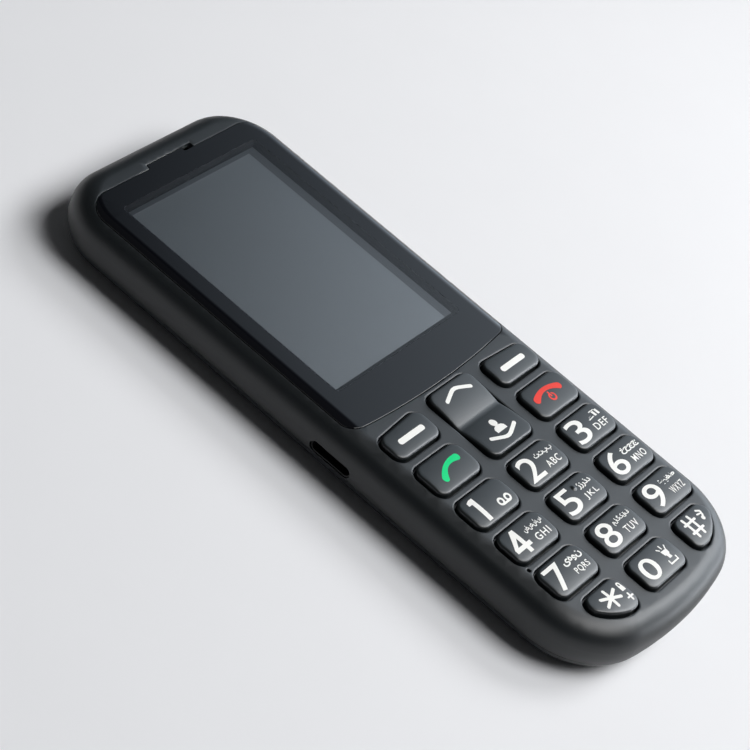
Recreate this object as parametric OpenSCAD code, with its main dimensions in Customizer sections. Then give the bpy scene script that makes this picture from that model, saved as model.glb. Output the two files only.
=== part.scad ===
// Bar-shaped feature phone with large keys, lying on its back.
// +X is to the right of the display, +Y towards the earpiece, +Z out of the front face.
// The origin is under the middle of the back. All sizes are in millimetres.

/* [Body] */
// Width of the phone
body_w = 53; // [52:0.5:60]
// Length of the phone
body_l = 128; // [127:0.5:140]
// Plan radius of the two corners at the earpiece end
top_corner_r = 12; // [10:0.5:14]
// Plan radius of the two corners at the microphone end
bottom_corner_r = 17; // [14:0.5:20]
// Rounding of the front edge
front_edge_r = 4.3; // [3.6:0.1:4.6]
// Rounding of the back edge
back_edge_r = 7; // [6:0.1:7.4]
// Wall of the two housings
wall = 1.2; // [1:0.05:1.3]
// Gap between housing pieces that come apart
seam = 0.1; // [0.05:0.05:0.2]

/* [Window] */
// Margin beside the window, to the side of the phone
window_side = 2.3; // [2:0.1:3]
// Margin above the window, to the top end
window_top = 6.35; // [6:0.05:8]
// Length of the window along its middle
window_l = 63.7; // [62.5:0.1:64.5]
// Thickness of the window
window_t = 1.1; // [0.8:0.05:1.4]
// Plan radius of the window's upper corners
window_top_r = 5; // [3:0.5:6]
// Plan radius of the window's lower corners
window_bottom_r = 3; // [2:0.5:4]
// Plan radius of the window's bowed lower edge
window_bow_r = 210; // [180:5:400]
// Width of the tab at the top of the window and the sound slot beside it
tab_w = 12.5; // [11:0.5:14]
// How far the tab stands out of the window's upper edge
tab_h = 1; // [0.6:0.1:1.4]
// Length of the sound slot
sound_slot_w = 2.6; // [2:0.1:3.5]
// Gap round the window
window_gap = 0.12; // [0.08:0.02:0.2]

/* [Display] */
// Black border of the window beside the picture
view_side = 5.84; // [5.6:0.02:7]
// Black border of the window above the picture
view_top = 5.17; // [4.9:0.01:6]
// Black border of the window below the picture
view_bottom = 9.57; // [9:0.01:11]
// Border of the display beside the picture
lcd_side = 2.74; // [2:0.02:3]
// Border of the display above the picture
lcd_top = 2; // [1.5:0.1:2.4]
// Distance from the window's lower edge up to the display
lcd_inset = 0.57; // [0.4:0.01:2]
// Gap between the board and the display
lcd_gap = 0.05; // [0.05:0.05:0.2]
// Width of the display's flat cable
flex_w = 16; // [12:0.5:20]
// How far the housing's opening reaches past the picture on each side
opening_margin = 1.5; // [1.2:0.1:1.8]
// Width of the tape under the window
tape_w = 1.5; // [1:0.1:1.6]
// Thickness of the backlight tray
lcd_frame_t = 0.85; // [0.7:0.05:1.2]
// Thickness of the glass of the display
lcd_panel_t = 0.7; // [0.5:0.05:1]
// Thickness of the foam frame between display and housing
gasket_t = 0.4; // [0.3:0.05:0.6]
// Thickness of the ledge that carries the window
ledge_t = 1.15; // [0.9:0.05:1.4]
// Thickness of the tape under the window
tape_t = 0.15; // [0.1:0.05:0.25]

/* [Keys] */
// Margin between the side of the phone and the outer keys
keypad_side = 3.95; // [3.7:0.05:5]
// Margin between the bottom end of the phone and the lowest keys
keypad_bottom = 5.8; // [5.6:0.1:7]
// Gap between columns of keys
column_gap = 3.8; // [3.4:0.1:4.4]
// How much lower a soft key is than a number key
soft_key_less = 0.2; // [0:0.05:0.5]
// How much lower a soft key's upper edge lies at its outer end
soft_slant = 0.9; // [0:0.1:1.2]
// How much taller the call and end keys are than a number key
call_key_more = 0.4; // [0:0.05:0.6]
// How much wider the navigation key is than a number key
nav_wider = 0.4; // [0:0.1:0.6]
// How much taller the navigation key is than two rows of keys
nav_taller = 0.7; // [0.4:0.1:1]
// Depth of the valley across the navigation key
nav_valley = 0.85; // [0.3:0.05:1]
// Radius of the raised dot on the middle key
dot_r = 0.8; // [0.6:0.05:1]
// How far the raised dot stands out of its key
dot_h = 0.2; // [0.15:0.05:0.3]
// Gap between rows of keys
row_gap = 2; // [1.9:0.05:2.2]
// Gap between the window and the keys
keypad_gap = 1.25; // [1.1:0.05:1.8]
// Plan radius of a key's corners
key_corner_r = 1.9; // [1:0.1:2.4]
// Rounding of a key's upper edge
key_edge_r = 0.7; // [0.3:0.05:0.8]
// How far a key stands out of the front face
key_proud = 0.9; // [0.5:0.05:1.4]
// Gap round a key in its opening
key_gap = 0.3; // [0.25:0.05:0.4]
// How far a key's flange reaches under the housing, past the opening's edge
key_flange = 0.25; // [0.15:0.05:0.3]
// Thickness of a key's flange
key_flange_t = 1.1; // [0.9:0.05:1.2]
// Travel of a key
key_travel = 0.4; // [0.3:0.05:0.5]
// Radius of the cut outer corner of the star and hash keys
corner_cut_r = 11.6; // [11:0.1:13]
// Thickness of the rubber mat under the keys
mat_t = 0.6; // [0.4:0.05:0.7]
// Diameter of a metal dome
dome_d = 5; // [4:0.1:5.4]
// Height of a metal dome
dome_t = 0.3; // [0.2:0.02:0.35]
// Thickness of the film that holds the domes
film_t = 0.08; // [0.05:0.01:0.12]

/* [Battery] */
// Margin between the side of the phone and the battery
battery_side = 8.5; // [8:0.1:10]
// Margin between the bottom end of the phone and the battery
battery_end = 23; // [21:0.5:26]
// Room above the battery for its contacts and the card holder
bay_room = 21; // [20.5:0.5:23]
// Thickness of the battery
battery_t = 4.4; // [4.2:0.1:5.5]
// Rounding of the battery's long edges in plan
battery_corner_r = 1.5; // [1:0.1:2]
// Gap round the battery in its bay
battery_gap = 0.3; // [0.2:0.05:0.5]
// Gap under and over the battery
battery_play = 0.2; // [0.15:0.05:0.3]
// Thickness of the bay's ribs
rib_t = 0.8; // [0.6:0.1:1]
// Height of the cover's upper edge above the back
cover_edge_h = 4.0; // [3.8:0.1:4.1]
// Distance from the top end of the phone to the cover
cover_start = 30; // [29:0.5:31]
// Length of the cover's tongue under the upper back
tongue_l = 2.8; // [2:0.1:3.5]
// Width of the cover's tongue
tongue_w = 30; // [20:1:34]

/* [Board] */
// Thickness of the circuit board
board_t = 0.8; // [0.6:0.05:1]
// Gap under the board
board_gap = 0.1; // [0.1:0.05:0.3]
// Thickness of the bay floor
floor_t = 0.7; // [0.6:0.05:1]
// Margin between the side of the phone and the board
board_side = 5.7; // [5.5:0.1:7]
// Margin between the ends of the phone and the board
board_end = 2.6; // [2.4:0.1:3]
// Clear length below the board at the microphone end
board_bottom = 6; // [5.6:0.1:7]

/* [Fittings] */
// Distance from the window's lower edge up to the middle of the charging slot
port_up = 2.05; // [1:0.05:4]
// Distance from the underside of the board down to the middle of the charging slot
port_drop = 1.1; // [1:0.05:1.15]
// Length of the charging slot
port_l = 9; // [8.6:0.1:9.4]
// Height of the charging slot
port_h = 2.6; // [2.4:0.05:2.7]
// Depth of the charging socket
port_depth = 6.8; // [6:0.1:7.2]
// Diameter of the microphone hole
mic_hole_d = 1; // [0.6:0.1:1.2]
// Diameter of the torch lens
torch_d = 2.8; // [2:0.1:2.8]
// Distance of the torch lens from the middle of the top end
torch_x = 10; // [8:0.5:11]
// Diameter of the loudspeaker
speaker_d = 15; // [13:0.5:16]
// Thickness of the loudspeaker
speaker_t = 3.2; // [2.5:0.1:3.8]
// Diameter of one grille hole
grille_d = 1.2; // [0.8:0.1:1.4]
// Pitch of the grille holes
grille_pitch = 2.2; // [2:0.1:2.4]
// Diameter of the vibrator motor
motor_d = 4.4; // [4:0.1:4.6]
// Length of the vibrator motor
motor_l = 8; // [7:0.5:10]
// Radius of the vibrator's weight
weight_r = 2.5; // [2:0.1:2.6]
// Diameter of the vibrator's shaft
shaft_d = 0.8; // [0.6:0.05:1]
// Running clearance round the vibrator's shaft
shaft_gap = 0.05; // [0.04:0.01:0.08]
// Diameter of a housing screw's shank
screw_d = 1.4; // [1.2:0.1:1.6]
// Diameter of a housing screw's head
screw_head_d = 2.6; // [2.4:0.1:2.8]
// Diameter of a screw boss
boss_d = 3.4; // [3.2:0.1:3.6]

/* [Hidden] */
$fn = 64;
plastic = "#3a3e40";
key_plastic = "#484c4e";
far = 300;
eps = 0.01;

// Heights, from the back to the front face
battery_z = wall + battery_play;
floor_z = battery_z + battery_t + battery_play;
board_z = floor_z + floor_t + board_gap;
board_top = board_z + board_t;
lcd_z = board_top + lcd_gap;
lcd_panel_z = lcd_z + lcd_frame_t;
gasket_z = lcd_panel_z + lcd_panel_t;
ledge_z = gasket_z + gasket_t;
ledge_top = ledge_z + ledge_t;
window_z = ledge_top + tape_t;
face_z = window_z + window_t;
plate_z = face_z - wall;
band_z = cover_edge_h + seam;
port_z = board_z - port_drop;
parting_z = board_top + 0.1;
key_top = face_z + key_proud;
flange_top = plate_z - 0.15;
key_z = flange_top - key_flange_t;
mat_top = key_z - key_travel - 0.05;
mat_z = mat_top - mat_t;
film_z = board_top + dome_t;

// Plan of the phone: the middles of its arcs
edge_d = max(front_edge_r, back_edge_r);
plate_lap = 0.3;
half_w = body_w / 2;
half_l = body_l / 2;
top_c = [half_w - top_corner_r, half_l - top_corner_r];
low_c = [half_w - bottom_corner_r, bottom_corner_r - half_l];

// Places along the phone
window_w = body_w - 2 * window_side;
window_y1 = half_l - window_top;
window_y0 = window_y1 - window_l;
view_w = window_w - 2 * view_side;
view_h = window_l - view_top - view_bottom;
view_y = window_y1 - view_top - view_h / 2;
lcd_w = view_w + 2 * lcd_side;
lcd_y1 = view_y + view_h / 2 + lcd_top;
lcd_y0 = window_y0 + lcd_inset;
ledge_w = body_w - 2 * (window_side - 0.4);
opening_w = view_w + 2 * opening_margin;
opening_h = view_h + 2 * opening_margin;
nav_y1 = window_y0 - keypad_gap;
keypad_l = nav_y1 + half_l - keypad_bottom;
key_w = (body_w - 2 * keypad_side - 2 * column_gap) / 3;
key_h = (keypad_l - nav_taller - 5 * row_gap) / 6;
key_pitch = key_w + column_gap;
soft_key_h = key_h - soft_key_less;
call_key_h = key_h + call_key_more;
nav_w = key_w + nav_wider;
nav_h = 2 * key_h + row_gap + nav_taller;
nav_y0 = nav_y1 - nav_h;
ledge_y0 = nav_y1 + key_gap + key_flange + 0.4;
nav_y = (nav_y0 + nav_y1) / 2;
soft_y = nav_y1 - 0.3 - soft_key_h / 2;
call_y = nav_y0 + call_key_h / 2;
row_1_y = nav_y0 - row_gap - key_h / 2;
row_pitch = key_h + row_gap;
cover_y = half_l - cover_start;
port_y = window_y0 + port_up;
battery_w = body_w - 2 * battery_side;
battery_y1 = cover_y - bay_room;
battery_y0 = battery_end - half_l;
battery_l = battery_y1 - battery_y0;
mic = [-key_pitch - key_w / 2 + 0.9, row_1_y - 1.5 * row_pitch];
speaker_at = [8, half_l - 17];
motor_at = [-16, half_l - 19];
motor_z = wall + 0.4 + weight_r;
screw_at = [
    [half_w - 3.4, cover_y - 7],
    [3.4 - half_w, cover_y - 7],
    [key_pitch / 2, 3.4 - half_l],
    [-key_pitch / 2, 3.4 - half_l]
];
dot_at = [0.5, 1.45];
corner_cut_in = 5.5;
corner_cut_up = 7.9;
contact_w = 12;
holder_w = 15;
holder_l = 14;
holder_y0 = battery_y1 + 5;
torch_z = parting_z - 1.55;
mic_body_d = 4;
screw_head_t = 0.8;
screw_l = 3.2;

function row_y(row) = row_1_y - row * row_pitch;
function column_x(column) = (column - 1) * key_pitch;

// Every key press point: the domes and the mat's nubs sit there
press_at = concat(
    [for (side = [-1, 1]) [side * key_pitch, soft_y]],
    [for (side = [-1, 1]) [side * key_pitch, call_y]],
    [for (end = [-1, 1]) [0, nav_y + end * nav_h / 3]],
    [for (row = [0:3], column = [0:2]) if (row < 3 || column == 1) [column_x(column), row_y(row)]],
    [for (side = [-1, 1]) [side * (key_pitch - 1.5), row_y(3) + 0.6]]
);

// General shapes

module block(x0, x1, y0, y1, z0, z1) {
    translate([x0, y0, z0])
        cube([x1 - x0, y1 - y0, z1 - z0]);
}

module slab(z0, z1) {
    translate([0, 0, z0])
        linear_extrude(z1 - z0)
            children();
}

module rounded_rect(w, h, r) {
    square([w, h - 2 * r], center = true);
    square([w - 2 * r, h], center = true);
    for (x = [-1, 1], y = [-1, 1])
        translate([x * (w / 2 - r), y * (h / 2 - r)])
            circle(r);
}

module half_plane(y0, y1) {
    translate([-far / 2, y0])
        square([far, y1 - y0]);
}

// Plan of the phone, moved in by d on every side
module plan(d) {
    union() {
        polygon([
            [half_w - d, low_c.y],
            [half_w - d, top_c.y],
            [top_c.x, half_l - d],
            [-top_c.x, half_l - d],
            [d - half_w, top_c.y],
            [d - half_w, low_c.y],
            [-low_c.x, d - half_l],
            [low_c.x, d - half_l]
        ]);
        for (side = [-1, 1]) {
            translate([side * top_c.x, top_c.y])
                circle(top_corner_r - d);
            translate([side * low_c.x, low_c.y])
                circle(bottom_corner_r - d);
        }
    }
}

// Carries a wall section round the plan: x = 0 lies on the outline, y is the height
module sweep() {
    for (side = [0, 1])
        mirror([side, 0, 0]) {
            translate([half_w, top_c.y, 0])
                rotate([90, 0, 0])
                    linear_extrude(top_c.y - low_c.y)
                        children();
            translate([top_c.x, top_c.y, 0])
                rotate_extrude(angle = 90)
                    translate([top_corner_r, 0])
                        children();
            translate([low_c.x, low_c.y, 0])
                rotate([0, 0, -90])
                    rotate_extrude(angle = 90)
                        translate([bottom_corner_r, 0])
                            children();
        }
    translate([-top_c.x, half_l, 0])
        rotate([90, 0, 90])
            linear_extrude(2 * top_c.x)
                children();
    translate([low_c.x, -half_l, 0])
        rotate([90, 0, -90])
            linear_extrude(2 * low_c.x)
                children();
}

// Section of the closed body near its edge, moved in by d
module edge_section(d) {
    front_r = front_edge_r - d;
    back_r = back_edge_r - d;
    difference() {
        translate([-edge_d - plate_lap, d])
            square([edge_d + plate_lap - d, face_z - 2 * d]);
        translate([-front_edge_r, face_z - front_edge_r])
            difference() {
                square(front_edge_r);
                circle(front_r);
            }
        translate([-back_edge_r, 0])
            difference() {
                square(back_edge_r);
                translate([0, back_edge_r])
                    circle(back_r);
            }
    }
}

// Section of the housing wall between two heights
module wall_section(z0, z1) {
    intersection() {
        difference() {
            edge_section(0);
            edge_section(wall);
        }
        translate([-edge_d - plate_lap, z0])
            square([edge_d + plate_lap, z1 - z0]);
    }
}

// Window plan, grown by d
module window_plan(d) {
    middle_y = (window_y0 + window_y1) / 2;
    top_r = window_top_r + d;
    low_r = window_bottom_r + d;
    x = window_w / 2 + d;
    intersection() {
        union() {
            polygon([
                [x, window_y0 - d + low_r],
                [x, window_y1 + d - top_r],
                [x - top_r, window_y1 + d],
                [top_r - x, window_y1 + d],
                [-x, window_y1 + d - top_r],
                [-x, window_y0 - d + low_r],
                [low_r - x, window_y0 - d],
                [x - low_r, window_y0 - d]
            ]);
            for (side = [-1, 1]) {
                translate([side * (x - top_r), window_y1 + d - top_r])
                    circle(top_r);
                translate([side * (x - low_r), window_y0 - d + low_r])
                    circle(low_r);
            }
        }
        translate([0, window_y0 + window_bow_r])
            circle(window_bow_r + d, $fn = 512);
    }
    translate([-tab_w / 2 - d, window_y1 - 1])
        square([tab_w - sound_slot_w + 2 * d, 1 + tab_h + d]);
}

// Prism along Y of the body's front section, which the window's sides follow
module front_envelope() {
    r = front_edge_r;
    translate([0, far / 2, 0])
        rotate([90, 0, 0])
            linear_extrude(far)
                union() {
                    translate([r - half_w, 0])
                        square([body_w - 2 * r, face_z]);
                    translate([-half_w, 0])
                        square([body_w, face_z - r]);
                    for (side = [-1, 1])
                        translate([side * (half_w - r), face_z - r])
                            circle(r);
                }
}

// Key plans, grown by d

module key_plan(at, h, d) {
    translate(at)
        rounded_rect(key_w + 2 * d, h + 2 * d, key_corner_r + d);
}

module soft_plan(side, d) {
    difference() {
        key_plan([side * key_pitch, soft_y], soft_key_h, d);
        translate([side * (key_pitch - key_w / 2), soft_y + soft_key_h / 2 + d])
            rotate(-side * atan(soft_slant / key_w))
                translate([-far / 2, 0])
                    square(far);
    }
}

module lower_corner_plan(side, d) {
    intersection() {
        key_plan([side * key_pitch, row_y(3)], key_h, d);
        translate([side * (key_pitch - corner_cut_in), row_y(3) + corner_cut_up])
            circle(corner_cut_r + d);
    }
}

module nav_plan(d) {
    translate([0, nav_y])
        rounded_rect(nav_w + 2 * d, nav_h + 2 * d, key_corner_r + d);
}

module all_key_plans(d) {
    for (side = [-1, 1]) {
        soft_plan(side, d);
        key_plan([side * key_pitch, call_y], call_key_h, d);
        lower_corner_plan(side, d);
    }
    nav_plan(d);
    for (row = [0:2], column = [0:2])
        key_plan([column_x(column), row_y(row)], key_h, d);
    key_plan([0, row_y(3)], key_h, d);
}

// Prism along X of a key's section, w long in the section and rounded on top
module rounded_bar(w) {
    r = key_edge_r;
    rotate([90, 0, 90])
        translate([0, 0, -far / 2])
            linear_extrude(far)
                union() {
                    translate([-w / 2, 0])
                        square([w, key_top - r]);
                    translate([r - w / 2, 0])
                        square([w - 2 * r, key_top]);
                    for (side = [-1, 1])
                        translate([side * (w / 2 - r), key_top - r])
                            circle(r);
                }
}

// One key: a rounded cap over a flange. children(0) is its plan, children(1) its flange's plan
module key_body(at, h) {
    color(key_plastic)
        union() {
            intersection() {
                slab(flange_top - eps, key_top)
                    children(0);
                translate(at)
                    rounded_bar(h);
                translate(at)
                    rotate([0, 0, 90])
                        rounded_bar(key_w);
            }
            slab(key_z, flange_top)
                children(1);
        }
}

module plain_key(at, h) {
    key_body(at, h) {
        key_plan(at, h, 0);
        key_plan(at, h, key_gap + key_flange);
    }
}

module number_key(row, column) {
    plain_key([column_x(column), row_y(row)], key_h);
}

module soft_key(side) {
    key_body([side * key_pitch, soft_y], soft_key_h) {
        soft_plan(side, 0);
        soft_plan(side, key_gap + key_flange);
    }
}

module lower_corner_key(side) {
    key_body([side * key_pitch, row_y(3)], key_h) {
        lower_corner_plan(side, 0);
        lower_corner_plan(side, key_gap + key_flange);
    }
}

// Housings

module front_housing() {
    color(plastic)
        difference() {
            union() {
                sweep()
                    wall_section(parting_z, face_z);
                slab(plate_z, face_z)
                    plan(edge_d);
                slab(ledge_z, plate_z + 0.2)
                    intersection() {
                        square([ledge_w, far], center = true);
                        plan(wall + 0.3);
                        half_plane(ledge_y0, window_y1 + tab_h + 1);
                    }
                for (at = screw_at)
                    translate([at.x, at.y, floor_z + floor_t])
                        cylinder(d = boss_d, h = plate_z + 0.2 - floor_z - floor_t);
            }
            slab(ledge_top, face_z + 1)
                window_plan(window_gap);
            slab(0, ledge_top + 1)
                translate([0, view_y])
                    square([opening_w, opening_h], center = true);
            slab(plate_z - 1, face_z + 1)
                all_key_plans(key_gap);
            block(tab_w / 2 - sound_slot_w, tab_w / 2, window_y1 - 0.2, window_y1 + tab_h, 0, face_z + 1);
            translate([mic.x, mic.y, 0])
                cylinder(d = mic_hole_d, h = face_z + 1);
            for (at = screw_at)
                translate([at.x, at.y, 0])
                    cylinder(d = screw_d + 0.1, h = floor_z + screw_l + 0.2);
        }
}

// Lower back shell of the whole phone, which the rear housing and the cover share
module back_shell(z1) {
    sweep()
        wall_section(0, z1);
    slab(0, wall)
        plan(edge_d);
}

module battery_bay() {
    x = battery_w / 2 + battery_gap;
    y0 = battery_y0 - battery_gap;
    y1 = battery_y1 + battery_gap;
    for (side = [0, 1])
        mirror([side, 0, 0])
            block(x, x + rib_t, y0 - rib_t, y1 + rib_t, battery_z, floor_z + eps);
    block(-x - eps, x + eps, y0 - rib_t, y0, battery_z, floor_z + eps);
    block(-x - eps, -contact_w / 2, y1, y1 + rib_t, battery_z, floor_z + eps);
    block(contact_w / 2, x + eps, y1, y1 + rib_t, battery_z, floor_z + eps);
}

module motor_cradle() {
    for (x = [motor_at.x - motor_l / 2 + 1, motor_at.x + motor_l / 2 - 2])
        difference() {
            block(x, x + 1, motor_at.y - motor_d / 2 - 1, motor_at.y + motor_d / 2 + 1, wall - eps, motor_z);
            translate([x - 1, motor_at.y, motor_z])
                rotate([0, 90, 0])
                    cylinder(d = motor_d + 0.1, h = 3);
        }
}

module rear_housing() {
    lap = tongue_l + 0.4;
    color(plastic)
        difference() {
            union() {
                sweep()
                    wall_section(band_z, parting_z);
                intersection() {
                    back_shell(band_z + eps);
                    block(-far, far, cover_y, far, -1, band_z + eps);
                }
                slab(floor_z, floor_z + floor_t)
                    intersection() {
                        plan(wall - 0.3);
                        half_plane(-far, cover_y + 2);
                    }
                slab(wall + 0.1, floor_z + eps)
                    intersection() {
                        plan(back_edge_r - 1.5);
                        half_plane(cover_y + 0.3, cover_y + 1.1);
                    }
                for (x = [-14, 14], y = [battery_y0 + 4, battery_y1 - 4])
                    block(x - 1, x + 1, y - 1, y + 1, floor_z + floor_t - eps, board_z);
                battery_bay();
                motor_cradle();
            }
            block(-tongue_w / 2 - 0.4, tongue_w / 2 + 0.4, cover_y - 1, cover_y + lap, wall / 2, wall + 0.1);
            block(-holder_w - 1.5, -1, holder_y0 - 0.5, holder_y0 + holder_l + 0.5, 0, board_z);
            block(-contact_w / 2, contact_w / 2, battery_y1 + 0.2, battery_y1 + 4.2, floor_z - 1, board_z);
            translate([-half_w - 1, port_y, port_z])
                port_prism(port_l, port_h, 3);
            block(-half_w + wall, port_depth - half_w + 0.6, port_y - port_l / 2 - 0.3, port_y + port_l / 2 + 0.3,
                port_z - port_h / 2 - 0.2, board_z);
            translate([torch_x, half_l + 1, torch_z])
                rotate([90, 0, 0])
                    cylinder(d = torch_d + 0.1, h = wall + 2.5);
            for (i = [-3:3], j = [-1:1])
                translate([speaker_at.x + i * grille_pitch, speaker_at.y + j * grille_pitch, -1])
                    cylinder(d = grille_d, h = wall + 2);
            for (at = screw_at)
                translate([at.x, at.y, 0])
                    cylinder(d = screw_d + 0.2, h = floor_z + 1);
        }
}

module battery_cover() {
    color(plastic)
        union() {
            intersection() {
                back_shell(cover_edge_h);
                block(-far, far, -far, cover_y - seam, -1, far);
            }
            block(-tongue_w / 2, tongue_w / 2, cover_y - 1, cover_y + tongue_l, wall / 2 + 0.1, wall - 0.05);
        }
}

// Window and display

module display_window() {
    color("#26282e")
        intersection() {
            slab(window_z, face_z)
                window_plan(0);
            front_envelope();
        }
}

module window_tape() {
    color("black")
        slab(ledge_top, window_z)
            difference() {
                translate([0, view_y])
                    square([opening_w + 2 + 2 * tape_w, opening_h + 1 + 2 * tape_w], center = true);
                translate([0, view_y])
                    square([opening_w + 2, opening_h + 1], center = true);
            }
}

module lcd_gasket() {
    color("dimgray")
        slab(gasket_z, ledge_z)
            difference() {
                translate([0, view_y])
                    square([lcd_w - 0.2, view_h + 3.6], center = true);
                translate([0, view_y])
                    square([view_w + 1.6, view_h + 1.6], center = true);
            }
}

module lcd_panel() {
    color("#5d626a")
        block(-lcd_w / 2 + 0.4, lcd_w / 2 - 0.4, lcd_y0 + 0.4, lcd_y1 - 0.4, lcd_panel_z, gasket_z);
}

module lcd_frame() {
    color("white")
        block(-lcd_w / 2, lcd_w / 2, lcd_y0, lcd_y1, lcd_z, lcd_panel_z);
}

module lcd_flex() {
    color("peru")
        union() {
            block(-flex_w / 2, flex_w / 2, lcd_y0 - 0.3, lcd_y0, board_top, lcd_panel_z);
            block(-flex_w / 2, flex_w / 2, lcd_y0 - 1.2, lcd_y0 - 0.3 + eps, board_top, board_top + 0.25);
        }
}

// Sound

module earpiece() {
    color("silver")
        slab(board_top, ledge_z - 0.1)
            translate([0, lcd_y1 + 0.4 + 2.7])
                rounded_rect(13, 5.4, 1.6);
}

module earpiece_mesh() {
    color("black")
        block(tab_w / 2 - sound_slot_w - 0.5, tab_w / 2 + 0.2, window_y1 - 0.5, window_y1 + tab_h + 0.3,
            ledge_z - 0.1, ledge_z);
}

module loudspeaker() {
    color("silver")
        translate([speaker_at.x, speaker_at.y, wall + 0.15])
            union() {
                cylinder(d = speaker_d, h = speaker_t * 0.6);
                cylinder(d = speaker_d * 0.7, h = speaker_t);
            }
}

module speaker_mesh() {
    color("black")
        translate([speaker_at.x, speaker_at.y, wall])
            cylinder(d = speaker_d, h = 0.15);
}

module microphone() {
    color("silver")
        translate([mic.x + 3, mic.y, board_top])
            cylinder(d = mic_body_d, h = mat_top - board_top - 0.2);
}

// Board and what sits on it

module main_board() {
    color("darkgreen")
        slab(board_z, board_top)
            difference() {
                intersection() {
                    plan(board_end);
                    translate([board_side - half_w, board_bottom - half_l])
                        square([body_w - 2 * board_side, body_l - board_bottom - board_end]);
                }
                translate([-half_w, port_y - port_l / 2 - 0.15])
                    square([port_depth + 0.6, port_l + 0.3]);
            }
}

module metal_domes() {
    color("gainsboro")
        for (at = press_at)
            translate([at.x, at.y, board_top])
                cylinder(d1 = dome_d, d2 = dome_d / 2, h = dome_t);
}

module mat_plan(d) {
    difference() {
        intersection() {
            plan(board_end + 1 + d);
            translate([board_side + d - half_w, board_bottom + d - half_l])
                square([body_w - 2 * (board_side + d), nav_y1 + half_l - board_bottom - d]);
        }
        translate([mic.x + 3, mic.y])
            circle(d = mic_body_d + 0.4 + d);
    }
}

module dome_sheet() {
    color("lightgray")
        slab(film_z, film_z + film_t)
            mat_plan(0.4);
}

module keypad_mat() {
    color("gray")
        union() {
            slab(mat_z, mat_top)
                mat_plan(0);
            for (at = press_at)
                translate([at.x, at.y, film_z + film_t])
                    cylinder(d = 2, h = mat_z - film_z - film_t + eps);
            translate([-3, nav_y - 0.6, mat_top - eps])
                cube([6, 1.2, key_z - mat_top - 0.05]);
        }
}

module shield_can() {
    color("silver")
        block(-9, 7, half_l - 15, half_l - 9, board_z - 1.6, board_z);
}

module sim_holder() {
    color("silver")
        difference() {
            block(-holder_w - 1, -1.5, holder_y0, holder_y0 + holder_l, board_z - 2, board_z);
            block(-holder_w - 0.5, -2, holder_y0 - 1, holder_y0 + holder_l - 1, board_z - 1.7, board_z - 0.8);
        }
}

// Stadium prism along +X, centred on its start
module port_prism(l, h, depth) {
    rotate([90, 0, 90])
        linear_extrude(depth)
            union() {
                square([l - h, h], center = true);
                for (side = [-1, 1])
                    translate([side * (l - h) / 2, 0])
                        circle(d = h);
            }
}

module usb_socket() {
    shell = 0.25;
    l = port_l - 0.1;
    h = port_h - 0.1;
    start = 0.7 - half_w;
    color("silver")
        translate([start, port_y, port_z])
            union() {
                difference() {
                    port_prism(l, h, port_depth - 0.7);
                    translate([-1, 0, 0])
                        port_prism(l - 2 * shell, h - 2 * shell, port_depth - 1.2);
                }
                translate([1, 3.3 - l / 2 + shell - 1.6, -0.35])
                    cube([port_depth - 2, l - 2 * shell - 3.4, 0.7]);
            }
}

module battery_contacts() {
    color("black")
        block(0.2 - contact_w / 2, contact_w / 2 - 0.2, battery_y1 + battery_gap, battery_y1 + 4, board_z - 3, board_z);
}

module battery_pack() {
    color("#2a2c30")
        slab(battery_z, battery_z + battery_t)
            translate([0, (battery_y0 + battery_y1) / 2])
                rounded_rect(battery_w, battery_l, battery_corner_r);
}

module vibrator_motor() {
    color("silver")
        translate([motor_at.x - motor_l / 2, motor_at.y, motor_z])
            rotate([0, 90, 0])
                difference() {
                    cylinder(d = motor_d, h = motor_l);
                    translate([0, 0, motor_l - 3])
                        cylinder(d = shaft_d + 2 * shaft_gap, h = 4);
                }
}

module vibrator_weight() {
    color("dimgray")
        translate([motor_at.x + motor_l / 2, motor_at.y, motor_z])
            rotate([0, 90, 0])
                union() {
                    translate([0, 0, -2.8])
                        cylinder(d = shaft_d, h = 6);
                    translate([0, 0, 0.4])
                        intersection() {
                            cylinder(r = weight_r, h = 2.8);
                            translate([-shaft_d, -far / 2, -1])
                                cube([far, far, 5]);
                        }
                }
}

module antenna() {
    color("goldenrod")
        block(-16, 6, half_l - 7.5, half_l - 3.4, board_z - 3.4, board_z);
}

module torch_led() {
    color("lightyellow")
        block(torch_x - 1.5, torch_x + 1.5, half_l - 4.5, half_l - wall - 0.5, torch_z - 0.9, board_z);
}

module torch_lens() {
    color("white")
        translate([torch_x, half_l - 0.15, torch_z])
            rotate([90, 0, 0])
                cylinder(d = torch_d, h = wall + 0.35);
}

module housing_screws() {
    color("silver")
        for (at = screw_at)
            translate([at.x, at.y, floor_z])
                union() {
                    cylinder(d = screw_d, h = screw_l);
                    translate([0, 0, -screw_head_t])
                        difference() {
                            cylinder(d = screw_head_d, h = screw_head_t);
                            translate([0, 0, -eps])
                                cylinder(d = screw_d * 0.7, h = screw_head_t / 2, $fn = 6);
                        }
                }
}

// Keys

module soft_key_left() soft_key(-1);
module soft_key_right() soft_key(1);
module call_key() plain_key([-key_pitch, call_y], call_key_h);
module end_key() plain_key([key_pitch, call_y], call_key_h);
module key_1() number_key(0, 0);
module key_2() number_key(0, 1);
module key_3() number_key(0, 2);
module key_4() number_key(1, 0);
module key_6() number_key(1, 2);
module key_7() number_key(2, 0);
module key_8() number_key(2, 1);
module key_9() number_key(2, 2);
module key_0() number_key(3, 1);
module star_key() lower_corner_key(-1);
module hash_key() lower_corner_key(1);

// The middle key carries a raised dot that a finger finds
module key_5() {
    color(key_plastic)
        union() {
            number_key(1, 1);
            translate([dot_at.x, row_y(1) + dot_at.y, key_top + dot_h - dot_r])
                rotate([90, 0, 0])
                    sphere(dot_r);
        }
}

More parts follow.
